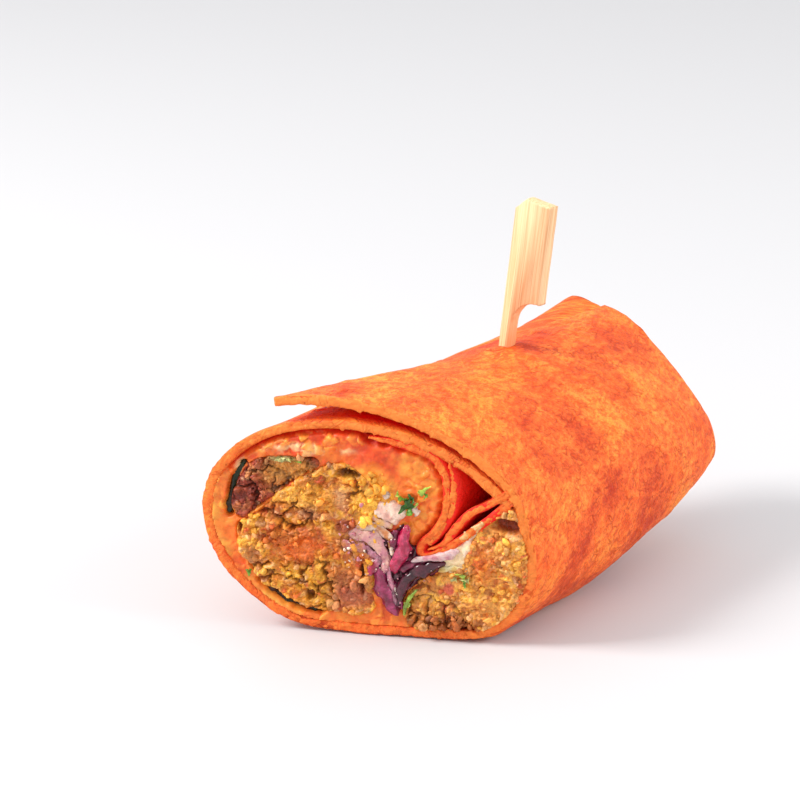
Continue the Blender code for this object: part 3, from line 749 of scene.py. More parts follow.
# The outlines of the fillings in the cut, across and up. The spread's face dips behind them.
FALAFEL_LEFT = smooth_curve(((-48.4, 25.6), (-45.2, 27.6), (-41.2, 31.4), (-36.2, 36.0),
    (-31.2, 39.8), (-26.0, 42.4), (-21.2, 41.4), (-17.6, 37.4), (-15.8, 33.0), (-16.2, 28.4),
    (-17.4, 24.6), (-17.0, 20.6), (-16.2, 16.6), (-17.0, 11.6), (-16.6, 7.4), (-19.0, 4.8),
    (-25.2, 4.7), (-31.6, 5.4), (-37.9, 8.6), (-43.8, 13.0), (-47.6, 19.4)), 3, closed=True)
FALAFEL_UPPER = smooth_curve(((-49.2, 28.8), (-48.4, 34.2), (-46.2, 39.8), (-42.0, 42.8),
    (-36.0, 43.6), (-30.0, 43.4), (-29.0, 40.8), (-33.4, 37.2), (-38.4, 33.0), (-43.2, 28.9),
    (-46.8, 26.2)), 3, closed=True)
FALAFEL_RIGHT = smooth_curve(((8.6, 33.0), (13.6, 34.0), (18.6, 29.0), (20.0, 21.0),
    (18.4, 12.0), (13.6, 5.0), (7.0, 1.0), (-0.6, -0.6), (-7.4, 0.4), (-9.8, 3.2), (-11.4, 7.2),
    (-8.8, 12.8), (-3.2, 17.0), (1.6, 18.6), (3.6, 23.0), (5.6, 28.6)), 3, closed=True)
CABBAGE = smooth_curve(((-16.6, 25.6), (-13.0, 26.6), (-10.4, 28.8), (-9.6, 25.8), (-8.0, 23.2),
    (-5.6, 22.0), (-2.4, 21.4), (-1.0, 17.6), (-4.8, 14.6), (-9.2, 11.2), (-10.8, 6.4),
    (-13.0, 6.6), (-14.2, 11.6), (-17.4, 17.0), (-18.8, 21.4)), 3, closed=True)
SAUCE_RIGHT = smooth_curve(((-3.2, 22.4), (0.6, 24.2), (3.6, 27.4), (6.8, 29.6), (5.2, 23.4),
    (3.4, 16.8), (0.8, 16.4), (-2.4, 17.8)), 3, closed=True)
LEAF_LEFT = smooth_curve(((-50.2, 27.6), (-50.0, 32.4), (-48.8, 37.0), (-46.6, 41.2),
    (-45.4, 40.6), (-47.4, 36.4), (-48.6, 32.2), (-48.9, 28.0)), 3, closed=True)
LEAF_LOWER = smooth_curve(((-43.2, 11.6), (-39.0, 7.8), (-34.4, 5.4), (-28.6, 4.5),
    (-28.6, 5.7), (-34.2, 6.8), (-38.4, 9.0), (-42.2, 12.6)), 3, closed=True)
ROOM = room_outline(0.0)
YELLOW = linear("#ffbe46")

# Hummus with harissa: a ground paste, spread with a spoon. Satin and a little see-through,
# with soft mottles of chickpea 1.5 mm apart.
spread_material = food_material("harissa_hummus", {
    "Roughness": 0.42, "IOR": 1.42, "Subsurface Weight": 0.2,
    "Subsurface Radius": (0.003, 0.0012, 0.0004)},
    {"Scale": 1 / 0.0015, "Detail": 3.0, "Roughness": 0.6}, 0.84, 1.12, (0.4, 0.0003))
# DEEP_SPREAD is a darker patch colour of the spread, and also painted shade near the top and
# between the curds.
SPREAD, DEEP_SPREAD, PALE_SPREAD, CREAM, SHADOW, LINING_SHADE_RED = (linear(c) for c in (
    "#fb7c2c", "#e2441a", "#ffa23e", "#ffdca0", "#4a1c0c", "#d0200e"))
PLEAT_SIDE = smooth_curve(PLEAT_OUTER, 4)


def spread_relief(points, inside):
    """The spread's face: soft swells, deeper between the falafels and level by the wall."""
    buried = np.max([depth_inside(points, o) for o in (FALAFEL_LEFT, FALAFEL_UPPER,
                    FALAFEL_RIGHT, CABBAGE, SAUCE_RIGHT, LEAF_LEFT, LEAF_LOWER)], axis=0)
    swell = 0.8 * layered_noise(points, 5.5, 11, 3) + 0.3 * soft_noise(points, 1.4, 15)
    # Curds of 2.6 mm stand out where the spread is loose.
    bent = pushed_about(points, 0.3, (16, 28), (19, 29))
    curds, number = lumps(bent, 2.6, 17)
    loose_area = patchy(points, 6.0, 18, 0.4, 1.6)
    height = -0.5 + swell + 1.3 * loose_area * curds * number \
        + 0.35 * layered_noise(points, 1.0, 22)
    # It dips behind the other fillings and beside the slices of leaf.
    height -= 2.2 * np.clip(buried - 0.3, 0.0, 2.0)
    by_leaf = np.maximum(depth_inside(points, LEAF_LEFT), depth_inside(points, LEAF_LOWER))
    height -= 2.4 * np.clip(by_leaf + 0.5 + 0.3 * soft_noise(points, 1.2, 27), 0.0, 1.2)
    wall = np.clip(1 - inside / 2.6, 0.0, 1.0)
    height = height * (1 - 0.6 * wall) + 0.25 * wall
    by_pit = blob(points, (-23.1, 40.2), (2.4, 1.2), 0.7, 1.0)
    height -= 2.4 * by_pit
    # It draws back under the roll's top and beside the pleat, so their inner side shows, and there
    # it
    # is painted deep red too: painted shade.
    under_top = np.clip(1.3 - inside / 1.5, 0.0, 1.0) \
        * np.clip((points[:, 1] - 37) / 5, 0.0, 1.0) * np.clip((-14 - points[:, 0]) / 4, 0.0, 1.0)
    gap = np.min(np.linalg.norm(points[:, None, :] - PLEAT_SIDE[None, ::2], axis=2), axis=1)
    by_pleat = np.clip(1.9 - gap / 1.3, 0.0, 1.0)
    height -= 2.2 * np.maximum(under_top, 0.8 * by_pleat)
    tone = mixed(SPREAD, DEEP_SPREAD, patchy(points, 7.0, 12, 0.3, 1.3))
    tone = mixed(tone, PALE_SPREAD, patchy(bent, 3.4, 13, 0.1, 1.5))
    # Darker and redder near the top by the wall: painted shade under the roll's top.
    top = np.clip((points[:, 1] - 37.0) / 6.0, 0.0, 1.0) * np.clip((-5 - points[:, 0]) / 6, 0.2, 1)
    tone = mixed(tone, DEEP_SPREAD, top * patchy(points, 4.0, 25, 0.65, 1.2, 0.9))
    # Darker between the loose curds: painted shade in the gaps.
    tone = mixed(tone, DEEP_SPREAD, 0.55 * loose_area * (1 - np.clip(1.6 * curds, 0.0, 1.0)))
    tone = mixed(tone, linear("#ffb24a"), wall * np.clip((-34 - points[:, 0]) / 5, 0, 1)
                 * patchy(points, 4.0, 24, 0.6, 1.2, 0.9))
    streak = blob(points, (-33.0, 45.0), (9.5, 1.2), 1.0, 1.0) \
        * patchy(bent, 1.8, 21, 0.45, 2.0)
    tone = mixed(tone, CREAM, 0.75 * streak)
    tone = spotted(points, tone, ((CREAM, 0.6, (-47.2, 40.2), (0.8, 2.6), 0.8, 0.9),
                                  (YELLOW, 0.7, (-17.0, 33.5), (4.0, 6.5), 0.9, 0.6)))
    tone = mixed(tone, PALE_SPREAD, 0.8 * loose_area * (number > 0.5) * curds)
    # Painted deep-red shade under the roll's top and beside the pleat.
    tone = mixed(tone, LINING_SHADE_RED, np.clip(1.2 * under_top + 0.75 * by_pleat, 0.0, 0.95))
    tone = mixed(tone, SHADOW, 0.85 * by_pit)
    return height + 0.3 * streak, tone


make_piece("spread", [front_sheet(ROOM, spread_relief, margin=0.0, back=8.0),
                      run_back(room_outline, FILLING_END, SPREAD, start=0.07)],
           spread_material, "orange_spread", "orange_spread")


# ---- Falafels -----------------------------------------------------------------------------
# Fried balls of ground chickpea, cut through: a moist golden mash with lumps of 1 to 4 mm and
# deep cracks, browner and purplish where the sauce and the cabbage have stained it.

# Fried chickpea mash: coarse ground and oily. Its grains, about 0.6 mm across, show light and
# dark, and it is glossier where oil has soaked in, in patches 3 mm across.
falafel_material = food_material("falafel_crumb", {
    "IOR": 1.45, "Subsurface Weight": 0.12, "Subsurface Radius": (0.0015, 0.0008, 0.0003)},
    {"Scale": 1 / 0.0006, "Detail": 2.0, "Roughness": 0.65}, 0.74, 1.28, (0.6, 0.0003))
tree = falafel_material.node_tree
place = add_node(tree, "ShaderNodeTexCoord")
oily = add_node(tree, "ShaderNodeTexNoise", {"Vector": place.outputs["Object"],
                "Scale": 1 / 0.003, "Detail": 2.0})
gloss = add_node(tree, "ShaderNodeMapRange", {"Value": oily.outputs["Fac"],
                 "From Min": 0.35, "From Max": 0.65, "To Min": 0.34, "To Max": 0.66})
tree.links.new(gloss.outputs["Result"], tree.nodes["Principled BSDF"].inputs["Roughness"])

# The third colour is painted shade, for pits, holes and the hollows between crumbs.
GOLD, BROWN, CREVICE_SHADE, STAINED, ORANGE, CRUST, PALE, MUSTARD = (linear(c) for c in (
    "#e6922e", "#c65e24", "#5e240c", "#b4624a", "#fa7424", "#98461e", "#ecb484", "#f0ac2c"))


def crumble(points, seed):
    """A crumbly face: its height in mm, how deep in a crack each place is, and the numbers of
    its crumbs of two sizes."""
    bent = pushed_about(points, 0.35, (seed, seed + 3), (seed + 7, seed + 9))
    # Crumbs of three sizes, run together where the mash is smooth.
    big, big_number = lumps(bent, 4.4, seed + 10)
    mid, mid_number = lumps(bent + 3.3, 1.9, seed + 20)
    small, small_number = lumps(bent - 5.1, 0.95, seed + 30)
    mashed = patchy(points, 6.0, seed + 40, 0.8, 1.9)
    ridges = 1 - 2 * np.abs(layered_noise(bent, 2.4, seed + 65))
    height = 0.55 * ridges + 0.3 * big * (0.2 + 1.2 * big_number) \
        + (0.8 - 0.62 * mashed) * mid * (0.1 + 1.3 * mid_number) \
        + (0.5 - 0.2 * mashed) * small * (0.1 + 1.2 * small_number) \
        + 0.8 * layered_noise(points, 2.6, seed + 50, 4) \
        + 0.25 * soft_noise(points, 0.5, seed + 55)
    # Cracks run between the big crumbs in places, and there are hollows between the others.
    crack = np.clip(1.1 - 0.7 * big, 0.0, 1.0) ** 5 * np.clip(
        1.8 * soft_noise(points, 7.0, seed + 60), 0.0, 1.0)
    hollow = np.clip(0.85 - (0.15 * big + 0.5 * mid + 0.35 * small), 0.0, 1.0) \
        * (1 - 0.75 * mashed) + 0.55 * np.clip(0.3 - ridges, 0.0, 1.0) \
        * np.clip(0.4 + 1.5 * soft_noise(points, 3.4, seed + 62), 0.0, 1.0)
    return height - 1.2 * crack, np.clip(hollow + crack, 0.0, 1.0), mid_number, small_number


def speckled(tone, mid, small):
    """The tone with paler, yellower and browner crumbs in it."""
    tone = mixed(tone, YELLOW, np.clip((mid - 0.62) * 2.2, 0, 0.8))
    tone = mixed(tone, CRUST, np.clip((0.24 - mid) * 3.0, 0, 0.6))
    tone = mixed(tone, PALE, np.clip((small - 0.8) * 3.0, 0, 0.6))
    tone = mixed(tone, BROWN, np.clip((0.25 - small) * 3.0, 0, 0.6))
    return mixed(tone, linear("#d8502e"), 0.7 * ((small > 0.6) & (small < 0.63)))


def round_bit(subdivisions):
    """The points and faces of a ball, 1 in radius, that a loose bit is shaped from."""
    shape = bmesh.new()
    bmesh.ops.create_icosphere(shape, subdivisions=subdivisions, radius=1.0)
    points = np.array([v.co for v in shape.verts])
    faces = np.array([[v.index for v in f.verts] for f in shape.faces])
    shape.free()
    return points, faces


crumb_points, crumb_faces = round_bit(2)


def loose_crumbs(places, sizes, tones, seed):
    """Uneven broken crumbs, each of its own size, shape and colour."""
    chooser = np.random.default_rng(seed)
    points, faces, colours = [], [], []
    for k, (place, size, tone) in enumerate(zip(places, sizes, tones)):
        shape = crumb_points * (1 + 0.45 * soft_noise(crumb_points * 1.3 + 17.0 * k, 1.0,
                                                      seed))[:, None]
        # Five broken sides are cut off it, and what is left is drawn out and turned.
        for facet in chooser.normal(size=(5, 3)):
            facet /= np.linalg.norm(facet)
            proud = np.clip(shape @ facet - chooser.uniform(0.4, 0.8), 0.0, None)
            shape = shape - proud[:, None] * facet
        shape = shape + 0.12 * crumb_points * soft_noise(crumb_points * 3.5 + 9.0 * k, 1.0,
                                                         seed + 1)[:, None]
        shape = (shape * chooser.uniform(0.6, 1.25, 3)) @ np.linalg.qr(
            chooser.normal(size=(3, 3)))[0]
        points.append(place + shape * size / 2)
        faces.append(crumb_faces + k * len(crumb_points))
        shade = 1 + 0.2 * soft_noise(crumb_points * 2.0 + 5.0 * k, 1.0, seed + 2)
        colours.append(tone * shade[:, None])
    return np.concatenate(points), np.concatenate(faces), {"tone": np.concatenate(colours)}


def scatter(spots, relief, outline, small, large, seed, colour=None, lift=0.15):
    """Loose crumbs at places in the cut, sunk a little into a filling's face."""
    chooser = np.random.default_rng(seed)
    height, tone = relief(spots, depth_inside(spots, outline))
    if colour is not None:
        tone = np.tile(colour, (len(spots), 1))
    sizes = small + (large - small) * chooser.uniform(size=len(spots)) ** 2.5
    places = placed(spots, 0.0) + CUT_NORMAL * (height + lift * sizes)[:, None]
    return loose_crumbs(places, sizes, tone * chooser.uniform(0.75, 1.3, (len(spots), 1)), seed)


def spots_in(outline, count, seed, inset=0.4):
    """Random places well inside an outline and inside the room."""
    chooser = np.random.default_rng(seed)
    spots = chooser.uniform(outline.min(axis=0), outline.max(axis=0), (count * 4, 2))
    good = (depth_inside(spots, outline) > inset) & (depth_inside(spots, ROOM) > inset)
    return spots[good][:count]


def uneven_rim(points, seed):
    """How far a lump's rim wanders in and out."""
    return 0.9 * layered_noise(points, 3.2, seed) - 0.2


def left_relief(points, inside):
    """The big falafel: gold above, browner in the middle and stained purple at lower right."""
    inside = inside + uneven_rim(points, 141)
    height, hollow, mid, small = crumble(points, 101)
    smeared = blob(points, (-22.0, 24.0), (5.0, 8.0), 0.9)
    height = height * (1 - 0.45 * smeared) + 0.9 * layered_noise(points, 8.0, 131)
    tone = mixed(GOLD, BROWN, patchy(points, 5.0, 132, 0.3, 1.9))
    tone = mixed(tone, MUSTARD, patchy(points, 4.5, 137, 0.0, 2.2, 0.85))
    tone = spotted(points, speckled(tone, mid, small), (
        (BROWN, 0.7, (-33.5, 22.0), (7.5, 4.6), 0.8),
        (ORANGE, 0.5, (-33.0, 20.5), (5.5, 2.6), 0.8),
        (YELLOW, 0.55, (-33.0, 33.5), (8.0, 2.8), 0.9),
        (STAINED, 0.7, (-22.5, 11.5), (4.4, 5.6), 0.9),
        (STAINED, 0.5, (-22.5, 25.0), (2.4, 5.0), 0.9),
        (PALE, 0.55, (-24.3, 33.1), (1.8, 3.0), 0.9, 0.6),
        (PALE, 0.5, (-31.0, 28.8), (3.4, 1.2), 0.9, 0.8),
        (STAINED, 0.6, (-44.7, 17.6), (2.0, 2.6), 0.9, 0.6),
        (YELLOW, 0.8, (-18.6, 31.4), (3.2, 5.0), 0.6),
        (YELLOW, 0.7, (-28.9, 16.4), (1.2, 3.0), 0.6, 0.7)))
    # Pits sink in, and they and the hollows between the crumbs are painted dark: painted shade.
    pits = np.clip(sum(blob(points, *pit) for pit in (
        ((-31.2, 9.3), (1.0, 1.4), 0.5), ((-42.6, 29.4), (3.2, 0.7), 0.6),
        ((-46.9, 25.7), (0.5, 2.0), 0.5), ((-23.4, 39.9), (2.4, 1.2), 0.7, 1.0),
        ((-19.6, 14.0), (0.5, 3.4), 0.6))), 0.0, 1.0)
    tone = mixed(tone, CREVICE_SHADE, np.clip(0.7 * hollow ** 1.4 + 0.8 * pits, 0, 0.9))
    return -0.5 + height + rounded(inside, 1.0) - 2.0 * pits, tone


def upper_relief(points, inside):
    """The piece of crust at upper left, dark and stained, set back behind the big falafel."""
    inside = inside + uneven_rim(points, 241)
    height, hollow, mid, small = crumble(points, 201)
    tone = mixed(linear("#a8462a"), linear("#641812"), patchy(points, 4.0, 231, 0.4, 1.5))
    tone = mixed(tone, linear("#d98a4c"), np.clip((mid - 0.6) * 2.2, 0, 0.85))
    tone = mixed(tone, linear("#e0a878"), np.clip((small - 0.85) * 4.0, 0, 0.6))
    tone = spotted(points, tone, (
        (linear("#dc963e"), 0.8, (-35.6, 39.4), (6.4, 3.4), 0.9, 0.6),
        (linear("#9db36b"), 0.7, (-37.2, 42.2), (2.6, 0.7), 0.6)))
    # The hollows between its crumbs are painted near black: painted shade.
    tone = mixed(tone, linear("#2c100c"), np.clip(0.8 * hollow ** 1.2, 0, 0.9))
    return -1.1 + height + rounded(inside, 1.2), tone


def right_relief(points, inside):
    """The falafel at lower right: yellow gold, with coarse brown crust crumbs along its foot."""
    inside = inside + uneven_rim(points, 341)
    height, hollow, mid, small = crumble(points, 301)
    smooth = blob(points, (-2.0, 11.5), (6.0, 3.6), 0.9)
    height = height * (1 - 0.5 * smooth) + 0.8 * layered_noise(points, 7.0, 331)
    tone = mixed(linear("#f0a84c"), linear("#de8c3c"), patchy(points, 5.0, 332, 0.4, 1.4))
    tone = speckled(tone, mid, small)
    crust = blob(points, (-0.6, 4.4), (6.6, 2.8), 0.9)
    tone = mixed(tone, CRUST, 0.75 * crust)
    tone = spotted(points, tone, ((linear("#cc4a40"), 0.85, (-0.2, 12.8), (1.3, 1.7), 0.5),
                                  (ORANGE, 0.5, (7.0, 20.0), (2.4, 4.4), 0.8)))
    # A pocket by the pleat and a hole sink in; they and the hollows between crumbs are painted
    # dark: painted shade.
    pocket = blob(points, (12.4, 29.4), (3.4, 1.5), 0.5)
    hole = blob(points, (3.6, 3.0), (1.3, 0.8), 0.4)
    tone = mixed(tone, linear("#8a2412"), 0.9 * pocket)
    tone = mixed(tone, CREVICE_SHADE, np.clip(0.65 * hollow ** 1.4 + 0.9 * hole, 0, 0.9))
    height = height * (1 + 0.3 * crust) - 2.4 * pocket - 2.0 * hole
    return -0.6 + height + rounded(inside, 1.0), tone


def fitted(outline, t, gap=0.7):
    """An outline carried to t and drawn in until it lies inside the room."""
    ring, room = carried(outline, t), room_outline(t)
    middle = ring.mean(axis=0)
    ring = middle + (ring - middle) * 0.96
    for _ in range(40):
        outside = depth_inside(ring, room) < gap
        if not outside.any():
            break
        ring[outside] = middle + (ring[outside] - middle) * 0.97
    return ring


def filling_behind(outline, colour, end=FILLING_END, gap=0.7):
    """A filling's body behind its face: its outline carried back, drawn in to fit the room."""
    return run_back(lambda t: fitted(outline, t, gap), end, colour)


left_spots = spots_in(FALAFEL_LEFT, 230, 61)
left_spill = np.random.default_rng(62).normal((-17.6, 32.6), (2.0, 3.8), (170, 2))
left_spill = left_spill[depth_inside(left_spill, FALAFEL_LEFT) < 1.5]
right_spots = spots_in(FALAFEL_RIGHT, 130, 63)
foot_spots = spots_in(FALAFEL_RIGHT, 400, 64, 0.9)
foot_spots = foot_spots[(foot_spots[:, 1] < 8.0) & (foot_spots[:, 0] < 6.0)][:60]
make_piece("falafel_left_crumb",
           [front_sheet(FALAFEL_LEFT, left_relief, ROOM, 0.21),
            filling_behind(FALAFEL_LEFT, GOLD),
            scatter(left_spots, left_relief, FALAFEL_LEFT, 0.6, 2.6, 65),
            scatter(left_spill, spread_relief, ROOM, 0.7, 2.6, 66, linear("#f8ac3c"), 0.1)],
           falafel_material, "falafel", "falafel_left")
make_piece("falafel_upper_crumb",
           [front_sheet(FALAFEL_UPPER, upper_relief, ROOM, 0.21),
            filling_behind(FALAFEL_UPPER, BROWN),
            scatter(spots_in(FALAFEL_UPPER, 70, 67), upper_relief, FALAFEL_UPPER, 0.6, 2.2, 68)],
           falafel_material, "dark_falafel", "falafel_upper_left")
make_piece("falafel_right_crumb",
           [front_sheet(FALAFEL_RIGHT, right_relief, ROOM, 0.21),
            filling_behind(FALAFEL_RIGHT, GOLD),
            scatter(right_spots, right_relief, FALAFEL_RIGHT, 0.6, 2.4, 69),
            scatter(foot_spots, right_relief, FALAFEL_RIGHT, 0.7, 2.4, 70, None, 0.3)],
           falafel_material, "falafel", "falafel_right")


# ---- White sauce --------------------------------------------------------------------------
# A thin garlic and yogurt sauce, in two pools and in smears over the cabbage, which has
# stained it pink.

# Yogurt sauce with garlic: a thin cream, poured on. Wet and shiny, and light goes well into it,
# with swirls of fat and spice about 1 mm apart.
sauce_material = food_material("garlic_yogurt_sauce", {
    "Roughness": 0.25, "IOR": 1.36, "Subsurface Weight": 0.35,
    "Subsurface Radius": (0.002, 0.0014, 0.001)},
    {"Scale": 1 / 0.001, "Detail": 3.0, "Distortion": 1.5}, 0.8, 1.1, (0.3, 0.0002))

WHITE, PINK, IVORY, MAUVE = (linear(c) for c in ("#f8d6c2", "#eab2a2", "#fddcae", "#cf8490"))
ROSY_GOLD = linear("#cf8250")
SAUCE_MIDDLE = smooth_curve(((-16.8, 33.4), (-13.0, 34.2), (-9.6, 32.6), (-9.6, 30.0),
    (-12.2, 27.6), (-17.0, 29.6)), 4, closed=True)
STRAND_SIDES = 16


def strand(path, out, width, thick, tone, seed, twist=(0.0, 0.0), cup=0.0, other=None):
    """A soft flat band along a curve in the cut, standing out from it, of two mixed colours.
    How far out, its width and its twist are each given from one end to the other."""
    curve = smooth_curve(path, 9)
    along = np.linspace(0.0, 1.0, len(curve))
    height, broad, turn = (np.interp(along, np.linspace(0, 1, len(v)), v)[:, None]
                           for v in (out, width, np.radians(twist)))
    broad = broad * (1 - np.abs(2 * along - 1) ** 6)[:, None] ** 0.5 + 0.05
    around = np.linspace(0.0, 2 * math.pi, STRAND_SIDES, endpoint=False)[None, :]
    lines = np.column_stack([np.repeat(along * 12.0, STRAND_SIDES),
                             np.tile(around.ravel() * 2, len(curve))])
    uneven = 1 + (0.4 * soft_noise(lines, 2.0, seed)
                  + 0.35 * soft_noise(lines, 0.8, seed + 3)).reshape(len(curve), STRAND_SIDES)
    height = height + 0.35 * soft_noise(curve, 1.6, seed + 4)[:, None]
    flat = broad / 2 * np.cos(around) * uneven
    deep = thick / 2 * np.sin(around) * uneven + cup * (1 - np.cos(around) ** 2)
    across = flat * np.cos(turn) - deep * np.sin(turn)
    forward = flat * np.sin(turn) + deep * np.cos(turn) + height
    places = curve[:, None, :] + left_normals(curve)[:, None, :] * across[..., None]
    points = placed(places.reshape(-1, 2), 0.0) + CUT_NORMAL * forward.reshape(-1, 1)
    if other is None:
        other = 0.5 * tone
    patches = np.clip(0.4 + 2.4 * layered_noise(points, 1.5, seed + 1, 4), 0.0, 1.0)
    return points, tube_faces(len(curve), STRAND_SIDES), {"tone": mixed(tone, other, patches)}


def sauce_relief(base, colour, other, seed):
    """A wet pool: rounded rim, slow waves and a few bubbles' hollows."""
    def relief(points, inside):
        inside = inside + 0.9 * layered_noise(points, 1.8, seed + 7) - 0.3
        waves = 0.6 * layered_noise(points, 2.2, seed) + 0.2 * soft_noise(points, 0.8, seed + 4)
        tone = mixed(colour, other, patchy(points, 2.0, seed + 5, 0.3, 1.6))
        return base + waves + 1.4 * rounded(inside, 1.4), tone
    return relief


def sauce_drops(points, inside):
    """Small drops, white or stained."""
    return np.full(len(points), 0.9), mixed(WHITE, MAUVE, soft_noise(points, 1.5, 418) > 0)


left_edge_spots = np.random.default_rng(419).normal((-20.4, 23.0), (2.2, 4.4), (40, 2))
make_piece("sauce_pool_middle",
           [front_sheet(SAUCE_MIDDLE, sauce_relief(0.7, WHITE, PINK, 401), ROOM, 0.2, 0.8),
            filling_behind(SAUCE_MIDDLE, WHITE, 0.45),
            strand([(-13.6, 34.6), (-14.4, 35.6), (-14.0, 36.4)], (0.2, 0.3), (1.8, 1.2), 0.7,
                   WHITE, 402),
            strand([(-8.4, 33.2), (-7.8, 31.8), (-7.0, 31.0)], (0.2, 0.2), (1.2, 1.5), 0.5,
                   WHITE, 403),
            strand([(-22.6, 25.2), (-18.8, 25.0), (-15.6, 22.6), (-13.9, 19.4), (-14.8, 15.8)],
                   (0.3, 0.6, 0.9, 0.8), (2.4, 3.4, 1.8, 1.5), 0.5, PINK, 404, other=MAUVE),
            strand([(-20.8, 27.0), (-16.8, 27.2), (-13.4, 25.2), (-12.7, 20.8)],
                   (0.3, 0.6, 1.1), (1.6, 2.4, 1.6, 0.9), 0.5, WHITE, 405, other=ROSY_GOLD),
            strand([(-24.2, 23.0), (-21.2, 21.8), (-18.6, 22.4)], (0.4, 0.5), (1.6, 2.4), 0.5,
                   MAUVE, 406, other=ROSY_GOLD),
            strand([(-19.8, 20.6), (-17.6, 19.0), (-16.8, 16.0)], (0.4, 0.5), (1.4, 2.0), 0.5,
                   MAUVE, 407, other=ROSY_GOLD),
            strand([(-17.6, 30.4), (-15.6, 28.4), (-12.8, 27.4)], (0.2, 0.5), (1.2, 2.0), 0.5,
                   linear("#f6b878"), 408, other=PINK),
            scatter(spots_in(CABBAGE, 50, 415, 0.2), sauce_drops, CABBAGE, 0.4, 1.3, 416),
            scatter(left_edge_spots, sauce_drops, ROOM, 0.4, 1.2, 417)],
           sauce_material, "white_sauce", "sauce_middle")
make_piece("sauce_pool_right",
           [front_sheet(SAUCE_RIGHT, sauce_relief(0.3, IVORY, WHITE, 411), ROOM, 0.2, 0.8),
            filling_behind(SAUCE_RIGHT, IVORY),
            strand([(-8.6, 19.6), (-4.6, 20.6), (-0.6, 21.6), (2.0, 23.0)], (0.7, 0.9, 0.7),
                   (1.0, 1.4, 2.0, 1.4), 0.6, linear("#e8c4c0"), 412, other=MAUVE),
            strand([(2.0, 25.6), (4.6, 27.4), (7.2, 30.2)], (0.1, 0.2), (1.2, 1.7, 0.8), 0.5,
                   linear("#f6c286"), 413, other=linear("#ee9040")),
            strand([(-2.6, 17.4), (1.0, 18.4), (4.4, 17.6)], (0.3, 0.5), (0.9, 1.5, 0.9), 0.6,
                   linear("#f2dba4"), 414, other=linear("#d8b064"))],
           sauce_material, "white_sauce", "sauce_right")


# ---- Red cabbage --------------------------------------------------------------------------
# Shredded red cabbage, pressed into a star between the two falafels: curved shreds 1 to 4 mm
# broad, with purple skins over a paler heart, wet and a little see-through.

# Cabbage leaf: crisp and waxy, cut into shreds. Its wet skin has a sharp shine over a body that
# glows magenta, with veins about 0.8 mm apart.
cabbage_material = food_material("red_cabbage_shred", {
    "Roughness": 0.18, "IOR": 1.4, "Coat Weight": 0.5, "Coat Roughness": 0.08,
    "Subsurface Weight": 0.4, "Subsurface Radius": (0.002, 0.0004, 0.0009)},
    {"Scale": 1 / 0.0008, "Detail": 2.0, "Distortion": 0.8}, 0.65, 1.35)

MAGENTA, PURPLE, DUSK, LILAC = (linear(c) for c in ("#a4103e", "#76183c", "#521c2c", "#c27e90"))


def core_relief(points, inside):
    """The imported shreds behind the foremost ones."""
    ridges = 0.7 * layered_noise(points * (1.0, 0.45), 1.6, 421)
    tone = mixed(DUSK, PURPLE, patchy(points, 2.4, 422, 0.4, 1.5))
    tone = mixed(tone, LILAC, patchy(points, 1.5, 423, -0.5, 2.2, 0.8))
    return -0.8 + ridges + 1.3 * rounded(inside, 1.4), tone


make_piece("cabbage_shreds",
           [front_sheet(CABBAGE, core_relief, ROOM, 0.22, 0.4),
            filling_behind(CABBAGE, PURPLE),
            strand([(-9.4, 28.4), (-10.0, 25.4), (-10.9, 21.0), (-12.6, 16.2)],
                   (0.4, 0.8, 0.9, 0.5), (1.0, 2.6, 3.0, 1.8), 0.7, MAGENTA, 431, (30, -34), 0.6,
                   other=linear("#bc3c60")),
            strand([(-11.8, 27.0), (-12.4, 24.0), (-12.6, 20.4)], (0.2, 0.6, 0.4),
                   (1.0, 2.0, 1.4), 0.8, PURPLE, 432, (-30, 20), 0.2),
            strand([(-15.8, 20.0), (-17.0, 17.6), (-18.0, 15.2)], (0.5, 0.7, 0.5),
                   (1.4, 2.4, 1.4), 0.9, MAGENTA, 433, (0, 30), 0.3, other=LILAC),
            strand([(-16.0, 17.4), (-14.8, 12.8), (-13.2, 9.0), (-11.6, 5.6)],
                   (0.2, 0.6, 0.5, 0.2), (2.6, 3.6, 3.0, 1.4), 1.0, PURPLE, 434, (20, -20), 0.4,
                   other=linear("#a83a66")),
            strand([(-1.0, 19.8), (-4.8, 18.0), (-8.4, 16.2), (-10.8, 12.2), (-11.2, 8.0)],
                   (0.2, 0.7, 0.8, 0.4), (1.4, 2.6, 3.0, 2.4, 1.4), 0.9, DUSK, 435,
                   (-20, 25), 0.4),
            strand([(-3.4, 20.8), (-7.0, 19.6), (-10.6, 17.8), (-13.4, 17.8)],
                   (0.0, 0.5, 0.3), (0.9, 1.7, 2.0, 1.2), 0.8, linear("#8c3450"), 436,
                   (30, 0), 0.2),
            strand([(-13.4, 18.0), (-13.2, 14.4), (-12.4, 10.8), (-11.9, 8.0)],
                   (0.9, 1.1, 0.7), (0.5, 1.1, 0.9, 0.5), 0.7, LILAC, 437),
            strand([(-18.6, 22.6), (-17.0, 20.4), (-14.8, 19.0)], (0.3, 0.6), (0.8, 1.6, 1.0),
                   0.7, LILAC, 438),
            strand([(-12.6, 14.4), (-11.6, 10.4), (-10.6, 7.4)], (0.4, 0.6), (0.8, 1.5, 0.8),
                   0.7, linear("#9c2456"), 439, (0, 40))],
           cabbage_material, "red_cabbage", "red_cabbage")


# ---- Herbs and leaves ---------------------------------------------------------------------
# Chopped parsley, curled, and two slices of a dark salad leaf, cut across with the roll, that
# lie pressed flat against its wall; the slices are drawn nearly black, with painted shade.

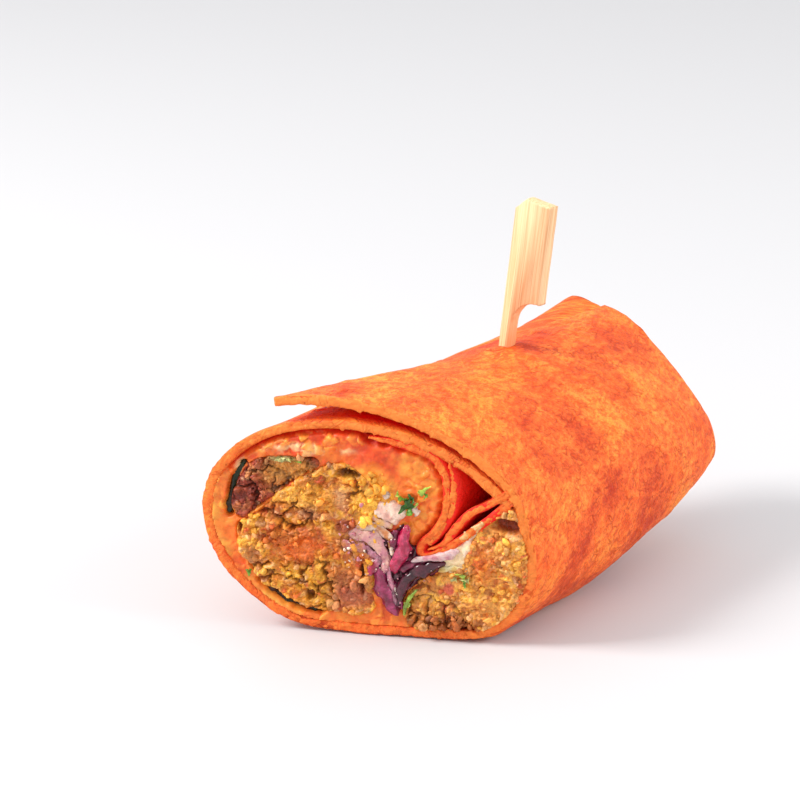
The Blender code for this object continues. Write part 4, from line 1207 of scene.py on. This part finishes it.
# Fresh leaf: thin and damp. A soft shine and a green glow, with veins that show as streaks
# 0.7 mm apart.
herb_material = food_material("parsley_and_leaf", {
    "Roughness": 0.35, "IOR": 1.42, "Subsurface Weight": 0.15,
    "Subsurface Radius": (0.0006, 0.001, 0.0003)},
    {"Scale": 1 / 0.0007, "Detail": 2.0, "Distortion": 0.5}, 0.6, 1.4)

BRIGHT, GREEN, DARK_GREEN, GREY_GREEN = (linear(c) for c in
                                         ("#a3bf4e", "#5d8c2c", "#2f5518", "#b9b877"))
leaf_points, leaf_faces = round_bit(4)


def leaf_bits(spots, out, seed):
    """Small lobed bits of curled leaf; each spot is (across, up, size, colour)."""
    chooser = np.random.default_rng(seed)
    points, faces, colours = [], [], []
    for k, (across, up, size, colour) in enumerate(spots):
        x, y, z = leaf_points.T
        turn = np.arctan2(y, x)
        phase = chooser.uniform(0, 2 * math.pi, 3)
        lobes = 1 + 0.28 * np.cos(3 * turn + phase[0]) + 0.16 * np.cos(7 * turn + phase[1])
        x, y = x * lobes, y * lobes * chooser.uniform(0.45, 0.8)
        curl = chooser.uniform(0.3, 0.8) * x * x - 0.5 * y * y + 0.15 * np.cos(5 * x + phase[2])
        shape = np.column_stack([x, y, 0.1 * z + curl]) * size / 2
        lean = Matrix.Rotation(chooser.uniform(-0.9, 0.9), 3, "X") \
            @ Matrix.Rotation(chooser.uniform(-0.9, 0.9), 3, "Y") \
            @ Matrix.Rotation(chooser.uniform(0, 6.28), 3, "Z")
        shape = shape @ np.array(lean).T
        spot = placed(np.array([[across, up]]), 0.0) + CUT_NORMAL * out
        side = np.array((-CUT_NORMAL[1], CUT_NORMAL[0], 0.0))
        points.append(spot + shape[:, :1] * side + shape[:, 1:2] * np.array((0.0, 0.0, 1.0))
                      + shape[:, 2:] * CUT_NORMAL)
        faces.append(leaf_faces + k * len(leaf_points))
        colours.append(np.tile(colour, (len(shape), 1)) * (1 + 0.3 * curl[:, None]))
    return np.concatenate(points), np.concatenate(faces), {"tone": np.concatenate(colours)}


make_piece("parsley_middle",
           [leaf_bits(((-9.4, 33.2, 3.4, DARK_GREEN), (-10.6, 34.8, 2.6, GREEN),
                       (-8.4, 34.8, 2.4, DARK_GREEN), (-6.2, 36.8, 2.8, BRIGHT),
                       (-5.4, 35.8, 2.0, GREEN), (-9.0, 31.6, 2.4, GREEN),
                       (-7.4, 33.6, 1.6, BRIGHT), (-11.6, 35.8, 1.5, BRIGHT),
                       (-37.6, 42.3, 2.2, GREY_GREEN), (-35.6, 42.4, 1.8, GREY_GREEN),
                       (-33.2, 42.2, 1.4, GREEN)), 0.6, 81)],
           herb_material, "herb", "herb_middle")
make_piece("parsley_right",
           [leaf_bits(((2.4, 17.0, 2.4, BRIGHT), (4.0, 15.8, 2.2, GREY_GREEN),
                       (1.2, 15.8, 1.8, GREY_GREEN), (3.2, 15.0, 1.7, GREEN),
                       (-8.7, 10.6, 1.6, BRIGHT), (-9.4, 8.6, 1.5, BRIGHT)), 0.9, 82),
            strand([(-7.2, 12.6), (-8.7, 10.6), (-9.8, 8.0), (-10.2, 5.6)], (0.5, 0.8, 0.5),
                   (0.4, 0.8, 0.5), 0.4, BRIGHT, 83)],
           herb_material, "herb", "herb_right")


def leaf_and_gap_shade_relief(base, seed):
    """The cut edge of a leaf pressed flat, a little wavy, nearly black: its dark green and
    brown with painted shade of its gap.
    """
    def relief(points, inside):
        # Near black: the leaf's own dark colours, darkened with painted shade.
        tone = mixed(DARK_GREEN * 0.2, linear("#43200c"), patchy(points, 2.5, seed, 0.4, 1.5))
        ragged = inside + 0.7 * layered_noise(points, 1.5, seed + 9)
        return base + 0.7 * layered_noise(points, 1.6, seed + 3) + rounded(ragged, 0.6), tone
    return relief


make_piece("leaf_slice_left",
           [front_sheet(LEAF_LEFT, leaf_and_gap_shade_relief(-1.5, 441), ROOM, 0.2, 0.4),
            filling_behind(LEAF_LEFT, DARK_GREEN * 0.4, 0.6, 0.4),
            leaf_bits(((-45.1, 13.9, 1.8, GREEN),), 0.2, 84)],
           herb_material, "dark_leaf", "leaf_left")
make_piece("leaf_slice_lower",
           [front_sheet(LEAF_LOWER, leaf_and_gap_shade_relief(-1.0, 451), ROOM, 0.2, 0.4),
            filling_behind(LEAF_LOWER, DARK_GREEN * 0.4, 0.6, 0.4)],
           herb_material, "dark_leaf", "leaf_lower")


# ---- Pick ---------------------------------------------------------------------------------
# A flat bamboo pick with a square shank and a broader blade on top, stamped out and then
# tumbled, so its corners are a little soft. The grain runs up it.

# Its thickness, its widths and its corners, then its heights above the floor, and how it stands.
PICK_THICK, PICK_SHANK, PICK_BLADE, PICK_BLADE_HEIGHT = 3.2, 3.2, 10.9, 25.5
PICK_SHOULDER, PICK_CHAMFER, PICK_POINT, PICK_SOFT = 7.2, 3.2, 8.0, 0.28
PICK_TOP, PICK_BOTTOM, PICK_ENTRY = 94.5, 17.0, 58.0
PICK_AT = np.array((-20.4 - CENTRE_X, 57.0 - CENTRE_Y, PICK_ENTRY))
PICK_TURN = (math.radians(90.0), math.radians(8.0), math.radians(-8.0))

bend = np.radians(np.linspace(0.0, 90.0, 13))
reach = PICK_BLADE - PICK_SHANK
hollow = np.column_stack([PICK_SHANK + reach * (1 - np.cos(bend)),
                          PICK_TOP - PICK_BLADE_HEIGHT - PICK_SHOULDER * (1 - np.sin(bend))])
corners = np.concatenate([[(PICK_SHANK * 0.5, PICK_BOTTOM),
                           (PICK_SHANK, PICK_BOTTOM + PICK_POINT)],
                          hollow, [(PICK_BLADE, PICK_TOP), (PICK_CHAMFER, PICK_TOP),
                                   (0.0, PICK_TOP - PICK_CHAMFER),
                                   (0.0, PICK_BOTTOM + PICK_POINT)]])
pick_outline = []
for start, end in zip(corners, np.roll(corners, -1, axis=0)):
    count = max(1, round(np.linalg.norm(end - start) / 0.6))
    pick_outline += [start + (end - start) * k / count for k in range(count)]
pick_outline = np.array(pick_outline)
inwards = left_normals(pick_outline, closed=True)
pick_rings, pick_grain = [], []
for depth, inset in ((-1.0, 1.0), (-0.86, 0.35), (-0.55, 0.0), (0.0, -0.1), (0.55, 0.0),
                     (0.86, 0.35), (1.0, 1.0)):
    ring = pick_outline + inwards * inset * PICK_SOFT
    rough = 0.05 * soft_noise(np.column_stack([ring[:, 0] * 2, ring[:, 1] * 0.3]), 1.0, 91)
    flat = np.column_stack([ring + inwards * rough[:, None],
                            np.full(len(ring), depth * PICK_THICK / 2)])
    pick_grain.append(flat)
    pick_rings.append(flat - (PICK_SHANK / 2, PICK_ENTRY, 0.0))
turning = np.array(Euler(PICK_TURN).to_matrix())
pick_points = np.concatenate(pick_rings) @ turning.T + PICK_AT
pick_grain = np.concatenate(pick_grain)
pick_faces = grid_faces(len(pick_rings), len(pick_outline), closed=True)
orange_low = np.clip((PICK_ENTRY + 9.0 - pick_grain[:, 1]) / 9.0, 0.0, 1.0)

# Bamboo: split and stamped, left unvarnished. Matt and pale yellow, with fine fibres, and
# orange low down, fading out 9 mm above where it goes into the roll.
bamboo, tree, bamboo_shader = new_material("bamboo", {"Roughness": 0.55, "IOR": 1.5})
grain_place = add_node(tree, "ShaderNodeAttribute", attribute_name="flat")
# Its tone holds how orange it is low down.
stained = add_node(tree, "ShaderNodeAttribute", attribute_name="tone")
# The fibres are 0.35 mm apart and run for 20 mm; darker bands are 2.5 mm apart.
fibres_at = add_node(tree, "ShaderNodeMapping", {"Vector": grain_place.outputs["Vector"],
                     "Scale": (1 / 0.35, 1 / 20, 1 / 0.35)})
fibres = add_node(tree, "ShaderNodeTexNoise", {"Vector": fibres_at.outputs["Vector"],
                  "Scale": 1.0, "Detail": 2.0})
bands_at = add_node(tree, "ShaderNodeMapping", {"Vector": grain_place.outputs["Vector"],
                    "Scale": (1 / 2.5, 1 / 40, 1 / 2.5)})
bands = add_node(tree, "ShaderNodeTexNoise", {"Vector": bands_at.outputs["Vector"],
                 "Scale": 1.0, "Detail": 1.0})
fibre_ramp = add_node(tree, "ShaderNodeValToRGB", {"Fac": fibres.outputs["Fac"]})
fibre_ramp.color_ramp.elements[0].position = 0.32
fibre_ramp.color_ramp.elements[0].color = (*linear("#e0aa78"), 1.0)
fibre_ramp.color_ramp.elements[1].position = 0.6
fibre_ramp.color_ramp.elements[1].color = (*linear("#f4d0a0"), 1.0)
band_amount = add_node(tree, "ShaderNodeMapRange", {"Value": bands.outputs["Fac"],
                       "From Min": 0.35, "From Max": 0.65, "To Min": 0.92, "To Max": 1.04})
banded = add_node(tree, "ShaderNodeVectorMath", {0: fibre_ramp.outputs["Color"],
                  "Scale": band_amount.outputs["Result"]}, operation="SCALE")
orange_low_parts = add_node(tree, "ShaderNodeSeparateColor", {"Color": stained.outputs["Color"]})
bamboo_mix = add_node(tree, "ShaderNodeMix", {"Factor": orange_low_parts.outputs["Red"],
                      6: banded.outputs["Vector"], 7: (*linear("#e8803c"), 1.0)},
                      data_type="RGBA")
tree.links.new(bamboo_mix.outputs[2], bamboo_shader.inputs["Base Color"])
bump = add_node(tree, "ShaderNodeBump", {"Height": fibres.outputs["Fac"], "Strength": 0.5,
                "Distance": 0.0002})
tree.links.new(bump.outputs["Normal"], bamboo_shader.inputs["Normal"])
make_piece("bamboo_pick", [(pick_points, pick_faces,
                            {"tone": np.repeat(0.55 * orange_low[:, None], 3, axis=1),
                             "flat": pick_grain})],
           bamboo, "bamboo", "pick")


# ---- Floor and light ----------------------------------------------------------------------
# A plain pale sheet under and behind the food, lit by a large soft lamp from the left, a weak
# one from the right and behind, and an even white surround.

# Matt card: a plain, nearly neutral pale grey.
floor_material = new_material("pale_floor", {
    "Base Color": (*linear("#cccccf"), 1.0), "Roughness": 0.6})[0]
floor_mesh = bpy.data.meshes.new("floor")
floor_mesh.from_pydata([(-3, -3, 0), (3, -3, 0), (3, 3, 0), (-3, 3, 0)], [], [(0, 1, 2, 3)])
floor = bpy.data.objects.new("floor", floor_mesh)
floor_mesh.materials.append(floor_material)
scene.collection.objects.link(floor)


def add_softbox(name, place, target, size, power, colour):
    """A square soft lamp at a place, facing a target."""
    lamp = bpy.data.lights.new(name, "AREA")
    lamp.size = size
    lamp.energy = power
    lamp.color = colour
    softbox = bpy.data.objects.new(name, lamp)
    toward = np.array(target) - np.array(place)
    softbox.location = place
    softbox.rotation_euler = Vector(toward).to_track_quat("-Z", "Y").to_euler()
    scene.collection.objects.link(softbox)


# A warm key lamp, and a fill lamp less than a quarter as strong.
add_softbox("key", (-0.75, -0.6, 0.85), (0.0, 0.0, 0.03), 0.45, 16.5, (1.0, 0.98, 0.95))
add_softbox("fill", (0.75, 0.3, 0.45), (0.0, 0.0, 0.06), 0.4, 3.6, (1.0, 0.99, 0.97))
world = bpy.data.worlds.new("studio")
world.use_nodes = True
surround = world.node_tree.nodes["Background"]
surround.inputs["Color"].default_value = (1.0, 1.0, 1.0, 1.0)
surround.inputs["Strength"].default_value = 0.92
scene.world = world
scene.view_settings.view_transform = "Standard"
